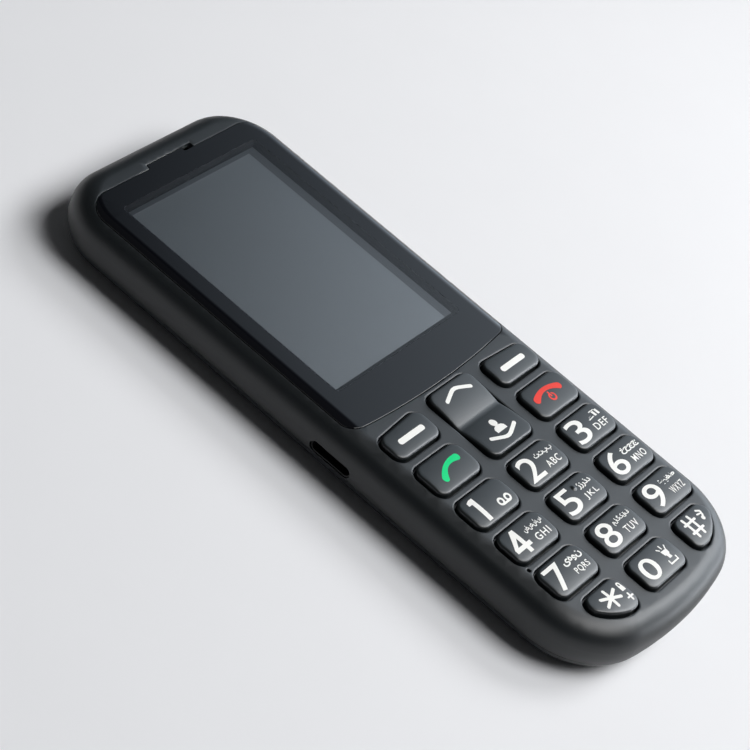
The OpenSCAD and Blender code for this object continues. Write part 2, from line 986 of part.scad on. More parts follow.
// Rocker with a valley across its middle; its flange is lower, to leave room for the rocking
module nav_key() {
    color(key_plastic)
        union() {
            intersection() {
                slab(key_z + 0.4, key_top)
                    nav_plan(0);
                translate([0, nav_y])
                    rotate([0, 0, 90])
                        rounded_bar(nav_w);
                translate([-far / 2, nav_y, 0])
                    rotate([90, 0, 90])
                        linear_extrude(far)
                            polygon([
                                [-nav_h / 2, 0],
                                [nav_h / 2, 0],
                                [nav_h / 2, key_top - key_edge_r],
                                [nav_h / 2 - key_edge_r, key_top],
                                [nav_h / 4, key_top],
                                [0, key_top - nav_valley],
                                [-nav_h / 4, key_top],
                                [key_edge_r - nav_h / 2, key_top],
                                [-nav_h / 2, key_top - key_edge_r]
                            ]);
            }
            slab(key_z, key_z + 0.65)
                nav_plan(key_gap + key_flange);
        }
}

front_housing();
rear_housing();
battery_cover();
display_window();
window_tape();
lcd_gasket();
lcd_panel();
lcd_frame();
lcd_flex();
earpiece();
earpiece_mesh();
main_board();
dome_sheet();
metal_domes();
keypad_mat();
shield_can();
sim_holder();
usb_socket();
battery_contacts();
battery_pack();
loudspeaker();
speaker_mesh();
vibrator_motor();
vibrator_weight();
microphone();
antenna();
torch_led();
torch_lens();
housing_screws();
soft_key_left();
soft_key_right();
nav_key();
call_key();
end_key();
key_1();
key_2();
key_3();
key_4();
key_5();
key_6();
key_7();
key_8();
key_9();
star_key();
key_0();
hash_key();
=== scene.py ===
"""Looks of a bar-shaped feature phone with large keys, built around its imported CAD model."""

import math
from types import SimpleNamespace

import bmesh
import bpy
from bpy.props import FloatProperty, FloatVectorProperty, PointerProperty
from mathutils import Matrix, Vector
from mathutils.geometry import delaunay_2d_cdt


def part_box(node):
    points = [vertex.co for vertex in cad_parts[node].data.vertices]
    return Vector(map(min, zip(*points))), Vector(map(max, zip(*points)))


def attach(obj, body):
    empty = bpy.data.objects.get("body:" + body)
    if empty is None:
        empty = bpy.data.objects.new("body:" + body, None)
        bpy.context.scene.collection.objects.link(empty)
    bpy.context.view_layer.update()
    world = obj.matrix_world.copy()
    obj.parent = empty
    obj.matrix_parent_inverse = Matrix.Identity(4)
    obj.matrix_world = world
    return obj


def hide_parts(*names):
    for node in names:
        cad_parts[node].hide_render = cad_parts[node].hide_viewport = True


bl_info = {
    "name": "Feature Phone",
    "version": (1, 0, 0),
    "blender": (4, 5, 0),
    "location": "3D View > Sidebar > Phone",
    "description": "Housings, window, keys, prints and stage of a feature phone",
    "category": "Add Mesh",
}

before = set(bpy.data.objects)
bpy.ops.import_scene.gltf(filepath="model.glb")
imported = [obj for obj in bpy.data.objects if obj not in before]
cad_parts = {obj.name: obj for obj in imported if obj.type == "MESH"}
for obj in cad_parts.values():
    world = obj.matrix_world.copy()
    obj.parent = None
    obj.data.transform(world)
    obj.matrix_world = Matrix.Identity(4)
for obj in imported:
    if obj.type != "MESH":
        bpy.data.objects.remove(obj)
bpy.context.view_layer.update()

# Every length below is in millimetres, in the CAD model's frame, and becomes metres in the meshes.
MM = 0.001
MAIN_BODY = "phone"
CORNER_KEYS = ["star_key", "hash_key"]
KEYS = ["soft_key_left", "soft_key_right", "nav_key", "call_key", "end_key", *CORNER_KEYS,
        *[f"key_{n}" for n in range(10)]]

# A small rounding round an opening in two steps: how far aside and how far down, as shares of its radius
LIP = [(0.3, 0.3), (0.0, 1.0)]
# Width of the slow drift in a surface's colour
DRIFT = 18
# How much the strokes of the printed figures are thickened
FIGURE_BOLD = 0.05
# Gap that keeps the window's pane and its ink apart
INK_GAP = 0.01
# Plan radius of the CAD shells' corners at the microphone end, which have a straight edge between them
SOLID_CORNER = 17
# How far inside the outline the bow bends the rear housing and the battery cover
REAR_REACH = 3
COVER_REACH = 7


def srgb(text):
    """Linear colour of an sRGB hex value such as #2b2f31."""
    parts = [int(text[i:i + 2], 16) / 255 for i in (1, 3, 5)]
    return [c / 12.92 if c <= 0.04045 else ((c + 0.055) / 1.055) ** 2.4 for c in parts]


def length(name, default, description):
    """A size whose default is given in millimetres."""
    return FloatProperty(
        name=name, description=description, default=default * MM, subtype="DISTANCE", unit="LENGTH")


def colour(name, default, description):
    """A colour whose default is an sRGB hex value."""
    return FloatVectorProperty(
        name=name, description=description, default=srgb(default), subtype="COLOR", min=0, max=1)


class PhoneSizes(bpy.types.PropertyGroup):
    """Sizes of the visible surfaces; the pieces' places come from the CAD model."""

    front_edge: length("Front edge", 4.3, "Rounding of the front housing's edge")
    wall: length("Wall", 1.2, "Wall of the housings")
    top_corner: length("Top corners", 12, "Plan radius of the corners at the earpiece end")
    bottom_corner: length("Bottom corners", 15.5, "Plan radius of the corners at the microphone end")
    bottom_bow: length("Bottom bow", 75, "Plan radius of the bowed bottom end")
    opening_edge: length("Opening edge", 0.25, "Rounding of the key openings' edge")
    microphone_hole: length("Microphone hole", 0.8, "Diameter of the microphone hole")
    microphone_aside: length("Microphone aside", 0.55, "How far the hole lies inside the outer end of key 4")
    microphone_edge: length("Microphone edge", 0.08, "Rounding of the microphone hole's edge")
    window_bow: length("Window bow", 210, "Plan radius of the window's lower edge")
    window_foot: length("Window foot", 3, "Plan radius of the window's lower corners")
    window_head: length("Window head", 5, "Plan radius of the window's upper corners")
    window_gap: length("Window gap", 0.12, "Gap round the window")
    window_edge: length("Window edge", 0.15, "Rounding of the window's edge and of its recess")
    tab_width: length("Tab width", 12.5, "Width of the window's tab with its sound slot")
    sound_slot: length("Sound slot", 2.6, "Length of the sound slot beside the tab")
    tab_height: length("Tab height", 1.0, "How far the tab stands out of the window's upper edge")
    tab_corner: length("Tab corners", 0.2, "Plan radius of the tab's outer corners")
    tab_fillet: length("Tab fillets", 0.4, "Plan radius of the corners between the tab and the window")
    ink_depth: length("Ink depth", 0.55, "Depth of the printed border's inner edge in the window")
    ink_slope: length("Ink slope", 0.8, "Width over which the printed border sinks to that depth")
    picture_width: length("Picture width", 36.72, "Width of the display's picture")
    picture_height: length("Picture height", 48.96, "Height of the display's picture")
    picture_corner: length("Picture corners", 0.15, "Plan radius of the picture's corners")
    border_lap: length("Border lap", 0.5, "How far the display's border laps over the picture's sides")
    picture_y: length("Picture place", 28.0, "Middle of the picture along the phone")
    key_gap: length("Key gap", 0.35, "Gap round a key in its opening")
    key_flange: length("Key flange", 0.55, "How far a key's flange stands out of the key")
    flange_height: length("Flange height", 1.1, "Height of a key's flange")
    nav_flange_height: length("Navigation flange", 0.65, "Height of the navigation key's flange")
    key_corner: length("Key corners", 1.9, "Plan radius of a key's corners")
    key_edge: length("Key edge", 0.42, "Rounding of a key's upper edge")
    key_fall_x: length("Key fall along X", 0.1, "How much a key's top falls towards its ends")
    key_fall_y: length("Key fall along Y", 0.24, "How much a key's top falls towards its long sides")
    soft_slant: length("Soft key slant", 0.9, "How much lower a soft key's upper edge lies at its outer end")
    corner_cut: length("Corner cut", 11.6, "Plan radius of the cut corner of the lowest outer keys")
    cut_aside: length("Cut aside", 10.8, "Place of the corner cut's middle across the phone")
    cut_above: length("Cut above", 7.9, "Place of the corner cut's middle above the lowest row")
    nav_valley: length("Navigation valley", 0.85, "Depth of the valley across the navigation key")
    dot_radius: length("Dot radius", 0.8, "Radius of the raised dot on the middle key")
    dot_aside: length("Dot aside", 0.5, "Place of the dot to the right of its key's middle")
    dot_above: length("Dot above", 1.45, "Place of the dot above its key's middle")
    print_lift: length("Print lift", 0.015, "How far the printed signs stand out of the keys")
    print_root: length("Print root", 0.03, "How far the printed signs reach into the keys")


class PhoneColours(bpy.types.PropertyGroup):
    """Colours of the phone and of the stage."""

    housing: colour("Housing", "#12171a", "Charcoal of the housings")
    keys: colour("Keys", "#161b1d", "Charcoal of the keys")
    window_ink: colour("Window ink", "#0b0c10", "Black border behind the window")
    display: colour("Display", "#22282b", "Switched-off display")
    display_border: colour("Display border", "#1b1e22", "Border of the display round its picture")
    white_print: colour("White print", "#fafaf7", "White signs on the keys")
    green_print: colour("Green print", "#00dc86", "Sign on the call key")
    red_print: colour("Red print", "#ee463c", "Sign on the end key")
    floor: colour("Floor", "#f0f1f4", "Floor under the phone")
    floor_bounce: colour("Floor bounce", "#7c7d80", "Light that the floor throws back at the phone")


def millimetres(group):
    """The group's sizes in millimetres."""
    return SimpleNamespace(**{name: getattr(group, name) / MM for name in group.__annotations__})


def box_mm(node):
    """Lowest and highest corner of a CAD node."""
    low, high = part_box(node)
    return low / MM, high / MM


def middle_mm(node):
    """Middle of a CAD node's box."""
    low, high = box_mm(node)
    return (low + high) / 2


# Outlines in plan, counter-clockwise

def line(start, end, steps):
    """Points from start towards end, without end."""
    return [tuple(Vector(start).lerp(Vector(end), i / steps)) for i in range(steps)]


def arc(centre, radius, start, end, steps):
    """Points on an arc between two angles in degrees, without its end."""
    angles = [math.radians(start + (end - start) * i / steps) for i in range(steps)]
    return [(centre[0] + radius * math.cos(a), centre[1] + radius * math.sin(a)) for a in angles]


def curved(centre, radius, start, end, steps=16):
    """Points of an arc with both its ends."""
    return [*arc(centre, radius, start, end, steps), *arc(centre, radius, end, end + 1, 1)]


def rounded_loop(corners, turn=9):
    """Closed outline through corners of (x, y, radius), with a point every turn degrees on its arcs."""
    loop = []
    for i, (x, y, radius) in enumerate(corners):
        if radius == 0:
            loop.append((x, y))
            continue
        here = Vector((x, y))
        back = (Vector(corners[i - 1][:2]) - here).normalized()
        on = (Vector(corners[(i + 1) % len(corners)][:2]) - here).normalized()
        half = back.angle(on) / 2
        centre = here + (back + on).normalized() * radius / math.sin(half)
        first = here + back * radius / math.tan(half) - centre
        swing = math.pi - 2 * half
        swing *= 1 if back.cross(on) < 0 else -1
        steps = max(2, math.ceil(abs(math.degrees(swing)) / turn))
        begin = math.atan2(first.y, first.x)
        for k in range(steps + 1):
            angle = begin + swing * k / steps
            loop.append((centre.x + radius * math.cos(angle), centre.y + radius * math.sin(angle)))
    return loop


def refine(loop, step):
    """The outline with its long edges cut into steps."""
    made = []
    for a, b in zip(loop, loop[1:] + loop[:1]):
        made += line(a, b, max(1, math.ceil(math.dist(a, b) / step)))
    return made


def grow(loop, distance):
    """The outline moved out by distance, point by point, with a limit to what sharp corners add."""
    sharpest = 0.3
    made = []
    for before, here, after in zip(loop[-1:] + loop[:-1], loop, loop[1:] + loop[:1]):
        a = Vector((here[1] - before[1], before[0] - here[0])).normalized()
        b = Vector((after[1] - here[1], here[0] - after[0])).normalized()
        out = (a + b).normalized()
        made.append(tuple(Vector(here) + out * distance / max(sharpest, out.dot(a))))
    return made


def rectangle(x0, x1, y0, y1, radius):
    """Outline of a rectangle with rounded corners."""
    return rounded_loop([(x0, y0, radius), (x1, y0, radius), (x1, y1, radius), (x0, y1, radius)])


def inside(point, loop):
    """True if the point lies inside the outline."""
    x, y = point
    crossings = False
    for (x0, y0), (x1, y1) in zip(loop, loop[1:] + loop[:1]):
        if (y0 > y) != (y1 > y) and x < x0 + (y - y0) * (x1 - x0) / (y1 - y0):
            crossings = not crossings
    return crossings


def grid_points(loop, step):
    """Points of a square grid inside the outline's box."""
    xs, ys = zip(*loop)
    columns = max(1, round((max(xs) - min(xs)) / step))
    rows = 2 * max(1, round((max(ys) - min(ys)) / step / 2))
    return [(min(xs) + (max(xs) - min(xs)) * i / columns, min(ys) + (max(ys) - min(ys)) * j / rows)
            for i in range(1, columns) for j in range(1, rows)]


def clear_of(points, loops, margin):
    """The points that lie more than margin, counted along X and Y, away from every outline's points."""
    near = [Vector(p) for loop in loops for p in loop]
    return [p for p in points if all((abs(q.x - p[0]) + abs(q.y - p[1])) > margin for q in near)]


def between_outlines(faces, walls):
    """The faces inside the outer outline and outside its holes, an odd number of walls away from outside."""
    edges = [[frozenset(pair) for pair in zip(face, [*face[1:], face[0]])] for face in faces]
    owners = {}
    for number, sides in enumerate(edges):
        for side in sides:
            owners.setdefault(side, []).append(number)
    within = {}
    todo = [(numbers[0], side in walls) for side, numbers in owners.items() if len(numbers) == 1]
    while todo:
        number, odd = todo.pop()
        if number not in within:
            within[number] = odd
            todo += [(other, odd != (side in walls)) for side in edges[number] for other in owners[side]]
    return [face for number, face in enumerate(faces) if within[number]]


class BodyPlan:
    """Plan of the phone with its bowed bottom end, and the heights of its front housing."""

    def __init__(self, sizes):
        high = box_mm("front_housing")[1]
        self.half_w, self.half_l = high.x, high.y
        self.face = box_mm("display_window")[1].z
        self.edge = sizes.front_edge
        self.top_r, self.low_r, self.bow_r = sizes.top_corner, sizes.bottom_corner, sizes.bottom_bow
        self.top_at = (self.half_w - self.top_r, self.half_l - self.top_r)
        self.bow_at = (0, self.bow_r - self.half_l)
        low_x = self.half_w - self.low_r
        self.low_at = (low_x, self.bow_at[1] - math.sqrt((self.bow_r - self.low_r) ** 2 - low_x ** 2))
        self.low_angle = math.degrees(math.atan2(self.low_at[1] - self.bow_at[1], low_x))

    def outline(self, inset, fine=1):
        """The plan moved in by inset, from the lower end of its right side; fine multiplies its points."""
        x, y = self.half_w - inset, self.half_l - inset
        (tx, ty), (lx, ly), turn = self.top_at, self.low_at, self.low_angle
        sides, ends, top_turn, low_turn = 34 * fine, 12 * fine, 18 * fine, 20 * fine
        return (line((x, ly), (x, ty), sides) + arc((tx, ty), self.top_r - inset, 0, 90, top_turn)
                + line((tx, y), (-tx, y), ends) + arc((-tx, ty), self.top_r - inset, 90, 180, top_turn)
                + line((-x, ty), (-x, ly), sides)
                + arc((-lx, ly), self.low_r - inset, 180, 180 - turn, low_turn)
                + arc(self.bow_at, self.bow_r - inset, 180 - turn, 360 + turn, ends)
                + arc((lx, ly), self.low_r - inset, 360 + turn, 360, low_turn))

    def depth(self, x, y):
        """How far a point lies inside the outline."""
        x = abs(x)
        top = Vector((x, y)) - Vector(self.top_at)
        low = Vector((x, y)) - Vector(self.low_at)
        if top.x > 0 and top.y > 0:
            return self.top_r - top.length
        if low.x > 0 > low.y and math.degrees(math.atan2(low.y, low.x)) > self.low_angle:
            return self.low_r - low.length
        sides = min(self.half_w - x, self.half_l - y)
        return sides if low.y > 0 else min(sides, self.bow_r - math.dist((x, y), self.bow_at))

    def front(self, x, y, moved_in=0):
        """Height of the front surface, or of a surface moved in by the wall."""
        radius = self.edge - moved_in
        across = self.edge - min(self.depth(x, y), self.edge)
        return self.face - self.edge + math.sqrt(max(radius ** 2 - across ** 2, 0))

    def bottom(self, x, inset):
        """Where the bottom end of the outline moved in by inset lies, for a place across the phone."""
        x = abs(x)
        if x > (self.bow_r - inset) * math.cos(math.radians(self.low_angle)):
            return self.low_at[1] - math.sqrt(max((self.low_r - inset) ** 2 - (x - self.low_at[0]) ** 2, 0))
        return self.bow_at[1] - math.sqrt((self.bow_r - inset) ** 2 - x ** 2)


class Solid:
    """Points and faces of one closed piece, in millimetres."""

    def __init__(self):
        self.verts, self.faces = [], []

    def ring(self, loop, height):
        """Adds the outline at a height, which may be a function of x and y."""
        start = len(self.verts)
        self.verts += [(x, y, height(x, y) if callable(height) else height) for x, y in loop]
        return list(range(start, len(self.verts)))

    def wall(self, a, b):
        """Joins two rings of as many points."""
        n = len(a)
        self.faces += [(a[i], a[(i + 1) % n], b[(i + 1) % n], b[i]) for i in range(n)]

    def walls(self, ring, levels):
        """Joins a ring to further outlines in turn, each with its height, and returns the last one's ring."""
        for loop, height in levels:
            following = self.ring(loop, height)
            self.wall(ring, following)
            ring = following
        return ring

    def sheet(self, outer, holes, extra, height):
        """Fills the outline outside its holes, and returns the rings of the outline and of the holes."""
        nearness = 1e-6
        loops = [outer, *holes]
        points, edges = [], []
        for loop in loops:
            n = len(points)
            edges += [(n + i, n + (i + 1) % len(loop)) for i in range(len(loop))]
            points += loop
        found, links, faces, origin, sources, _ = delaunay_2d_cdt(
            [Vector(p) for p in [*points, *extra]], edges, [], 0, nearness)
        rows = self.ring([tuple(p) for p in found], height)
        walls = {frozenset(link) for link, source in zip(links, sources) if source}
        self.faces += [tuple(rows[i] for i in face) for face in between_outlines(faces, walls)]
        place = {source: rows[out] for out, sources in enumerate(origin) for source in sources}
        rings, n = [], 0
        for loop in loops:
            rings.append([place[n + i] for i in range(len(loop))])
            n += len(loop)
        return rings[0], rings[1:]

    def piece(self, name, material, body, slot, stands_for=(), sharp=40):
        """Makes the object, which rides on a body and may stand for CAD nodes."""
        used = sorted({i for face in self.faces for i in face})
        number = {old: new for new, old in enumerate(used)}
        mesh = bpy.data.meshes.new(name)
        mesh.from_pydata([[c * MM for c in self.verts[i]] for i in used], [],
                         [[number[i] for i in face] for face in self.faces])
        return finish_piece(name, mesh, material, body, stands_for, sharp)


def rounding(loop, radius, shares, height):
    """Outlines of a rounded edge, each with its height, at shares of the radius aside of loop and down."""
    for aside, drop in shares:
        yield grow(loop, aside * radius), lambda x, y: height(x, y) - drop * radius


def finish_piece(name, mesh, material, body, stands_for, sharp):
    """Makes an object of a mesh, with faces that turn by more than sharp degrees left unsmoothed."""
    work = bmesh.new()
    work.from_mesh(mesh)
    bmesh.ops.recalc_face_normals(work, faces=work.faces)
    work.to_mesh(mesh)
    work.free()
    mesh.materials.clear()
    mesh.materials.append(material)
    mesh.shade_smooth()
    mesh.set_sharp_from_angle(angle=math.radians(sharp))
    made = bpy.data.objects.new(name, mesh)
    bpy.context.scene.collection.objects.link(made)
    weighted = made.modifiers.new("Flat faces lead", "WEIGHTED_NORMAL")
    weighted.keep_sharp = True
    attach(made, body)
    if stands_for:
        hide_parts(*stands_for)
    return made


# Materials

def add_node(tree, kind, inputs=None, **settings):
    """Adds a node with its settings; inputs gives its sockets a value or another node's output."""
    made = tree.nodes.new(kind)
    for name, value in settings.items():
        setattr(made, name, value)
    for socket, value in (inputs or {}).items():
        if isinstance(value, bpy.types.NodeSocket):
            tree.links.new(value, made.inputs[socket])
        else:
            made.inputs[socket].default_value = value
    return made


def new_material(name):
    """An empty material: its tree, its output and the object's own coordinates in metres."""
    material = bpy.data.materials.new(name)
    material.use_nodes = True
    tree = material.node_tree
    tree.nodes.clear()
    output = add_node(tree, "ShaderNodeOutputMaterial")
    place = add_node(tree, "ShaderNodeTexCoord").outputs["Object"]
    return material, tree, output, place


def per_metre(size):
    """Noise scale of a pattern whose marks are size millimetres wide."""
    return 1 / (size * MM)


def grained(name, base, spread, grain, relief, rough, **sockets):
    """A surface with a fine grain of that size and relief in millimetres, and a slow drift of its colour.

    base is the colour, spread its share of drift, rough the range of roughness; sockets are constant values.
    """
    material, tree, output, place = new_material(name)
    fine = add_node(tree, "ShaderNodeTexNoise", {"Vector": place, "Scale": per_metre(grain), "Detail": 2.0})
    slow = add_node(tree, "ShaderNodeTexNoise", {"Vector": place, "Scale": per_metre(DRIFT), "Detail": 2.0})
    tint = add_node(tree, "ShaderNodeMix", {"Factor": slow.outputs["Fac"]}, data_type="RGBA")
    tint.inputs["A"].default_value = [c * (1 - spread) for c in base] + [1]
    tint.inputs["B"].default_value = [min(1, c * (1 + spread)) for c in base] + [1]
    dull = add_node(tree, "ShaderNodeMapRange", {
        "Value": fine.outputs["Fac"], "To Min": rough[0], "To Max": rough[1]})
    bump = add_node(tree, "ShaderNodeBump", {
        "Height": fine.outputs["Fac"], "Strength": 1.0, "Distance": relief * MM})
    shader = add_node(tree, "ShaderNodeBsdfPrincipled", {
        "Base Color": tint.outputs["Result"], "Roughness": dull.outputs["Result"],
        "Normal": bump.outputs["Normal"], **sockets})
    tree.links.new(shader.outputs["BSDF"], output.inputs["Surface"])
    return material


def moulded_abs(base):
    """ABS from a spark-eroded tool: dull and even, with a grain of 0.1 mm that is drawn coarser to show."""
    return grained("Moulded ABS", base, 0.05, 0.28, 0.0015, (0.42, 0.48), IOR=1.54)


def satin_keycap(base):
    """Polycarbonate keycaps from a finer tool: satin, smoother than the housing."""
    return grained("Satin polycarbonate", base, 0.03, 0.22, 0.001, (0.34, 0.4), IOR=1.58)


def pad_print(name, base):
    """Pad-printed ink: an opaque, nearly even film with a faint mottle."""
    return grained(name, base, 0.02, 0.15, 0.001, (0.6, 0.7), **{"IOR": 1.5, "Specular IOR Level": 0.2})


def clear_acrylic():
    """Hard-coated cast acrylic: clear, with a smooth mirror at its front that strengthens at low angles."""
    material, tree, output, place = new_material("Hard-coated acrylic")
    haze = add_node(tree, "ShaderNodeTexNoise", {"Vector": place, "Scale": per_metre(0.5), "Detail": 2.0})
    dull = add_node(tree, "ShaderNodeMapRange", {
        "Value": haze.outputs["Fac"], "To Min": 0.05, "To Max": 0.07})
    fresnel = add_node(tree, "ShaderNodeFresnel", {"IOR": 1.49})
    side = add_node(tree, "ShaderNodeNewGeometry")
    front = add_node(tree, "ShaderNodeMath", {0: 1.0, 1: side.outputs["Backfacing"]}, operation="SUBTRACT")
    share = add_node(tree, "ShaderNodeMath", {0: fresnel.outputs["Fac"], 1: front.outputs["Value"]},
                     operation="MULTIPLY")
    clear = add_node(tree, "ShaderNodeBsdfTransparent", {"Color": (0.97, 0.97, 0.97, 1)})
    gloss = add_node(tree, "ShaderNodeBsdfGlossy", {
        "Color": (1, 1, 1, 1), "Roughness": dull.outputs["Result"]})
    both = add_node(tree, "ShaderNodeMixShader", {
        "Fac": share.outputs["Value"], 1: clear.outputs["BSDF"], 2: gloss.outputs["BSDF"]})
    tree.links.new(both.outputs["Shader"], output.inputs["Surface"])
    return material


def inked_acrylic(base):
    """Acrylic with black ink screen-printed behind it: one deep black under a mirror-smooth front."""
    return grained("Back-printed acrylic", base, 0.03, 0.5, 0.00005, (0.05, 0.07), IOR=1.49)


def screen_ink(base):
    """Screen-printed black ink under the clear pane: a deep, even layer without a gloss of its own."""
    return grained("Screen-printed ink", base, 0.03, 0.5, 0.00005, (0.5, 0.6), **{"Specular IOR Level": 0.02})


def polariser(name, base, electrodes):
    """Polariser film of a switched-off display: dark, with a soft mirror of its own.

    The clear electrodes under the film have a higher refractive index, so that the picture mirrors more
    than its border.
    """
    return grained(name, base, 0.04, 0.2, 0.00001, (0.28, 0.32), **{
        "IOR": electrodes, "Coat Weight": 1.0, "Coat Roughness": 0.28, "Coat IOR": 1.5})


def bare_metal(name, base, grain, rough):
    """Stamped or drawn sheet metal: fine directionless marks from the press."""
    return grained(name, base, 0.05, grain, 0.002, rough, Metallic=1.0)


def circuit_board():
    """Glass-fibre board under green solder mask: glossy, with the weave just showing through."""
    return grained("Solder mask on glass fibre", srgb("#134a2a"), 0.2, 0.6, 0.004, (0.25, 0.4), IOR=1.5)


def soft_rubber(name, base):
    """Moulded silicone or foam: very dull, with an open grain."""
    return grained(name, base, 0.08, 0.3, 0.01, (0.7, 0.85), IOR=1.43)


def woven_mesh():
    """Black woven mesh behind the sound openings: threads about 0.1 mm apart, drawn at 0.3 mm."""
    material, tree, output, place = new_material("Woven mesh")
    # The wave texture has 20 / (2 pi) bands in a unit.
    drawn_apart = 0.3
    bands = {"Vector": place, "Scale": per_metre(drawn_apart) * math.tau / 20}
    wefts, warps = (add_node(tree, "ShaderNodeTexWave", bands, bands_direction=way) for way in "XY")
    weave = add_node(tree, "ShaderNodeMath", {
        0: wefts.outputs["Fac"], 1: warps.outputs["Fac"]}, operation="MAXIMUM")
    tint = add_node(tree, "ShaderNodeMix", {"Factor": weave.outputs["Value"]}, data_type="RGBA")
    tint.inputs["A"].default_value = [*srgb("#020202"), 1]
    tint.inputs["B"].default_value = [*srgb("#141414"), 1]
    bump = add_node(tree, "ShaderNodeBump", {"Height": weave.outputs["Value"], "Distance": 0.05 * MM})
    shader = add_node(tree, "ShaderNodeBsdfPrincipled", {
        "Base Color": tint.outputs["Result"], "Normal": bump.outputs["Normal"], "Roughness": 0.7})
    tree.links.new(shader.outputs["BSDF"], output.inputs["Surface"])
    return material


def lamp_lens():
    """Clear moulded lens of the torch: a little frosted by its facets."""
    return grained("Moulded clear lens", srgb("#f4f6f6"), 0.01, 0.6, 0.01, (0.08, 0.15),
                   **{"IOR": 1.49, "Transmission Weight": 1.0})


# Pieces

def window_loop(sizes, tab_right):
    """Plan of the window, with its tab's right end at tab_right."""
    low, high = box_mm("display_window")
    half = high.x
    top = high.y - sizes.tab_height
    bow_at = low.y + sizes.window_bow
    corner_y = bow_at - math.sqrt(sizes.window_bow ** 2 - half ** 2)
    reach = [half * i / 10 for i in range(-8, 9)]
    bow = [(x, bow_at - math.sqrt(sizes.window_bow ** 2 - x ** 2), 0) for x in reach]
    tab_left = -sizes.tab_width / 2
    return refine(rounded_loop([
        *bow, (half, corner_y, sizes.window_foot), (half, top, sizes.window_head),
        (tab_right, top, sizes.tab_fillet), (tab_right, high.y, sizes.tab_corner),
        (tab_left, high.y, sizes.tab_corner), (tab_left, top, sizes.tab_fillet),
        (-half, top, sizes.window_head), (-half, corner_y, sizes.window_foot)]), 1.0)


def key_plan(node, sizes):
    """Plan of a key without its flange, from the CAD node's box."""
    low, high = box_mm(node)
    x0, x1, y0, y1 = (low.x + sizes.key_flange, high.x - sizes.key_flange,
                      low.y + sizes.key_flange, high.y - sizes.key_flange)
    r = sizes.key_corner
    if node.startswith("soft"):
        slant = [sizes.soft_slant, 0] if x0 < 0 else [0, sizes.soft_slant]
        corners = [(x0, y0, r), (x1, y0, r), (x1, y1 - slant[1], r), (x0, y1 - slant[0], r)]
    elif node in CORNER_KEYS:
        side = 1 if x0 > 0 else -1
        inner = min(abs(x0), abs(x1))
        row = box_mm("key_0")
        y0, y1 = row[0].y + sizes.key_flange, row[1].y - sizes.key_flange
        cut_y = (y0 + y1) / 2 + sizes.cut_above
        begin, end = (math.degrees(math.asin((y - cut_y) / sizes.corner_cut)) for y in (y0, y1))
        bend = curved((sizes.cut_aside, cut_y), sizes.corner_cut, begin, end, steps=12)
        corners = [(inner, y1, r), (inner, y0, r), (*bend[0], r)]
        corners += [*[(*p, 0) for p in bend[2:-4]], (*bend[-1], r)]
        corners = [(side * x, y, radius) for x, y, radius in corners]
        if side < 0:
            corners.reverse()
    else:
        corners = [(x0, y0, r), (x1, y0, r), (x1, y1, r), (x0, y1, r)]
    return refine(rounded_loop(corners, 10), 0.8)


def dot_place(sizes):
    """Place of the raised dot on the middle key."""
    middle = middle_mm("key_5")
    return middle.x + sizes.dot_aside, middle.y + sizes.dot_above


def key_top(node, sizes):
    """Height of a key's top as a function of x and y."""
    low, high = box_mm(node)
    middle = middle_mm(node)
    half = (high - low) / 2 - Vector((sizes.key_flange, sizes.key_flange, 0))
    peak = box_mm("key_0")[1].z
    dot = dot_place(sizes)
    valley_power = 2.4
    if node in CORNER_KEYS:
        middle.y = middle_mm("key_0").y

    def fall(x):
        return sizes.key_fall_x * ((x - middle.x) / half.x) ** 2

    def crowned(x, y):
        return peak - fall(x) - sizes.key_fall_y * ((y - middle.y) / half.y) ** 2

    def valley(x, y):
        along = max(0, 1 - abs(y - middle.y) / half.y)
        return peak - sizes.nav_valley * along ** valley_power - fall(x)

    def dotted(x, y):
        away = math.dist((x, y), dot)
        cap = high.z - sizes.dot_radius + math.sqrt(max(sizes.dot_radius ** 2 - away ** 2, 0))
        return max(crowned(x, y), cap if away < sizes.dot_radius else 0)

    return {"nav_key": valley, "key_5": dotted}.get(node, crowned)


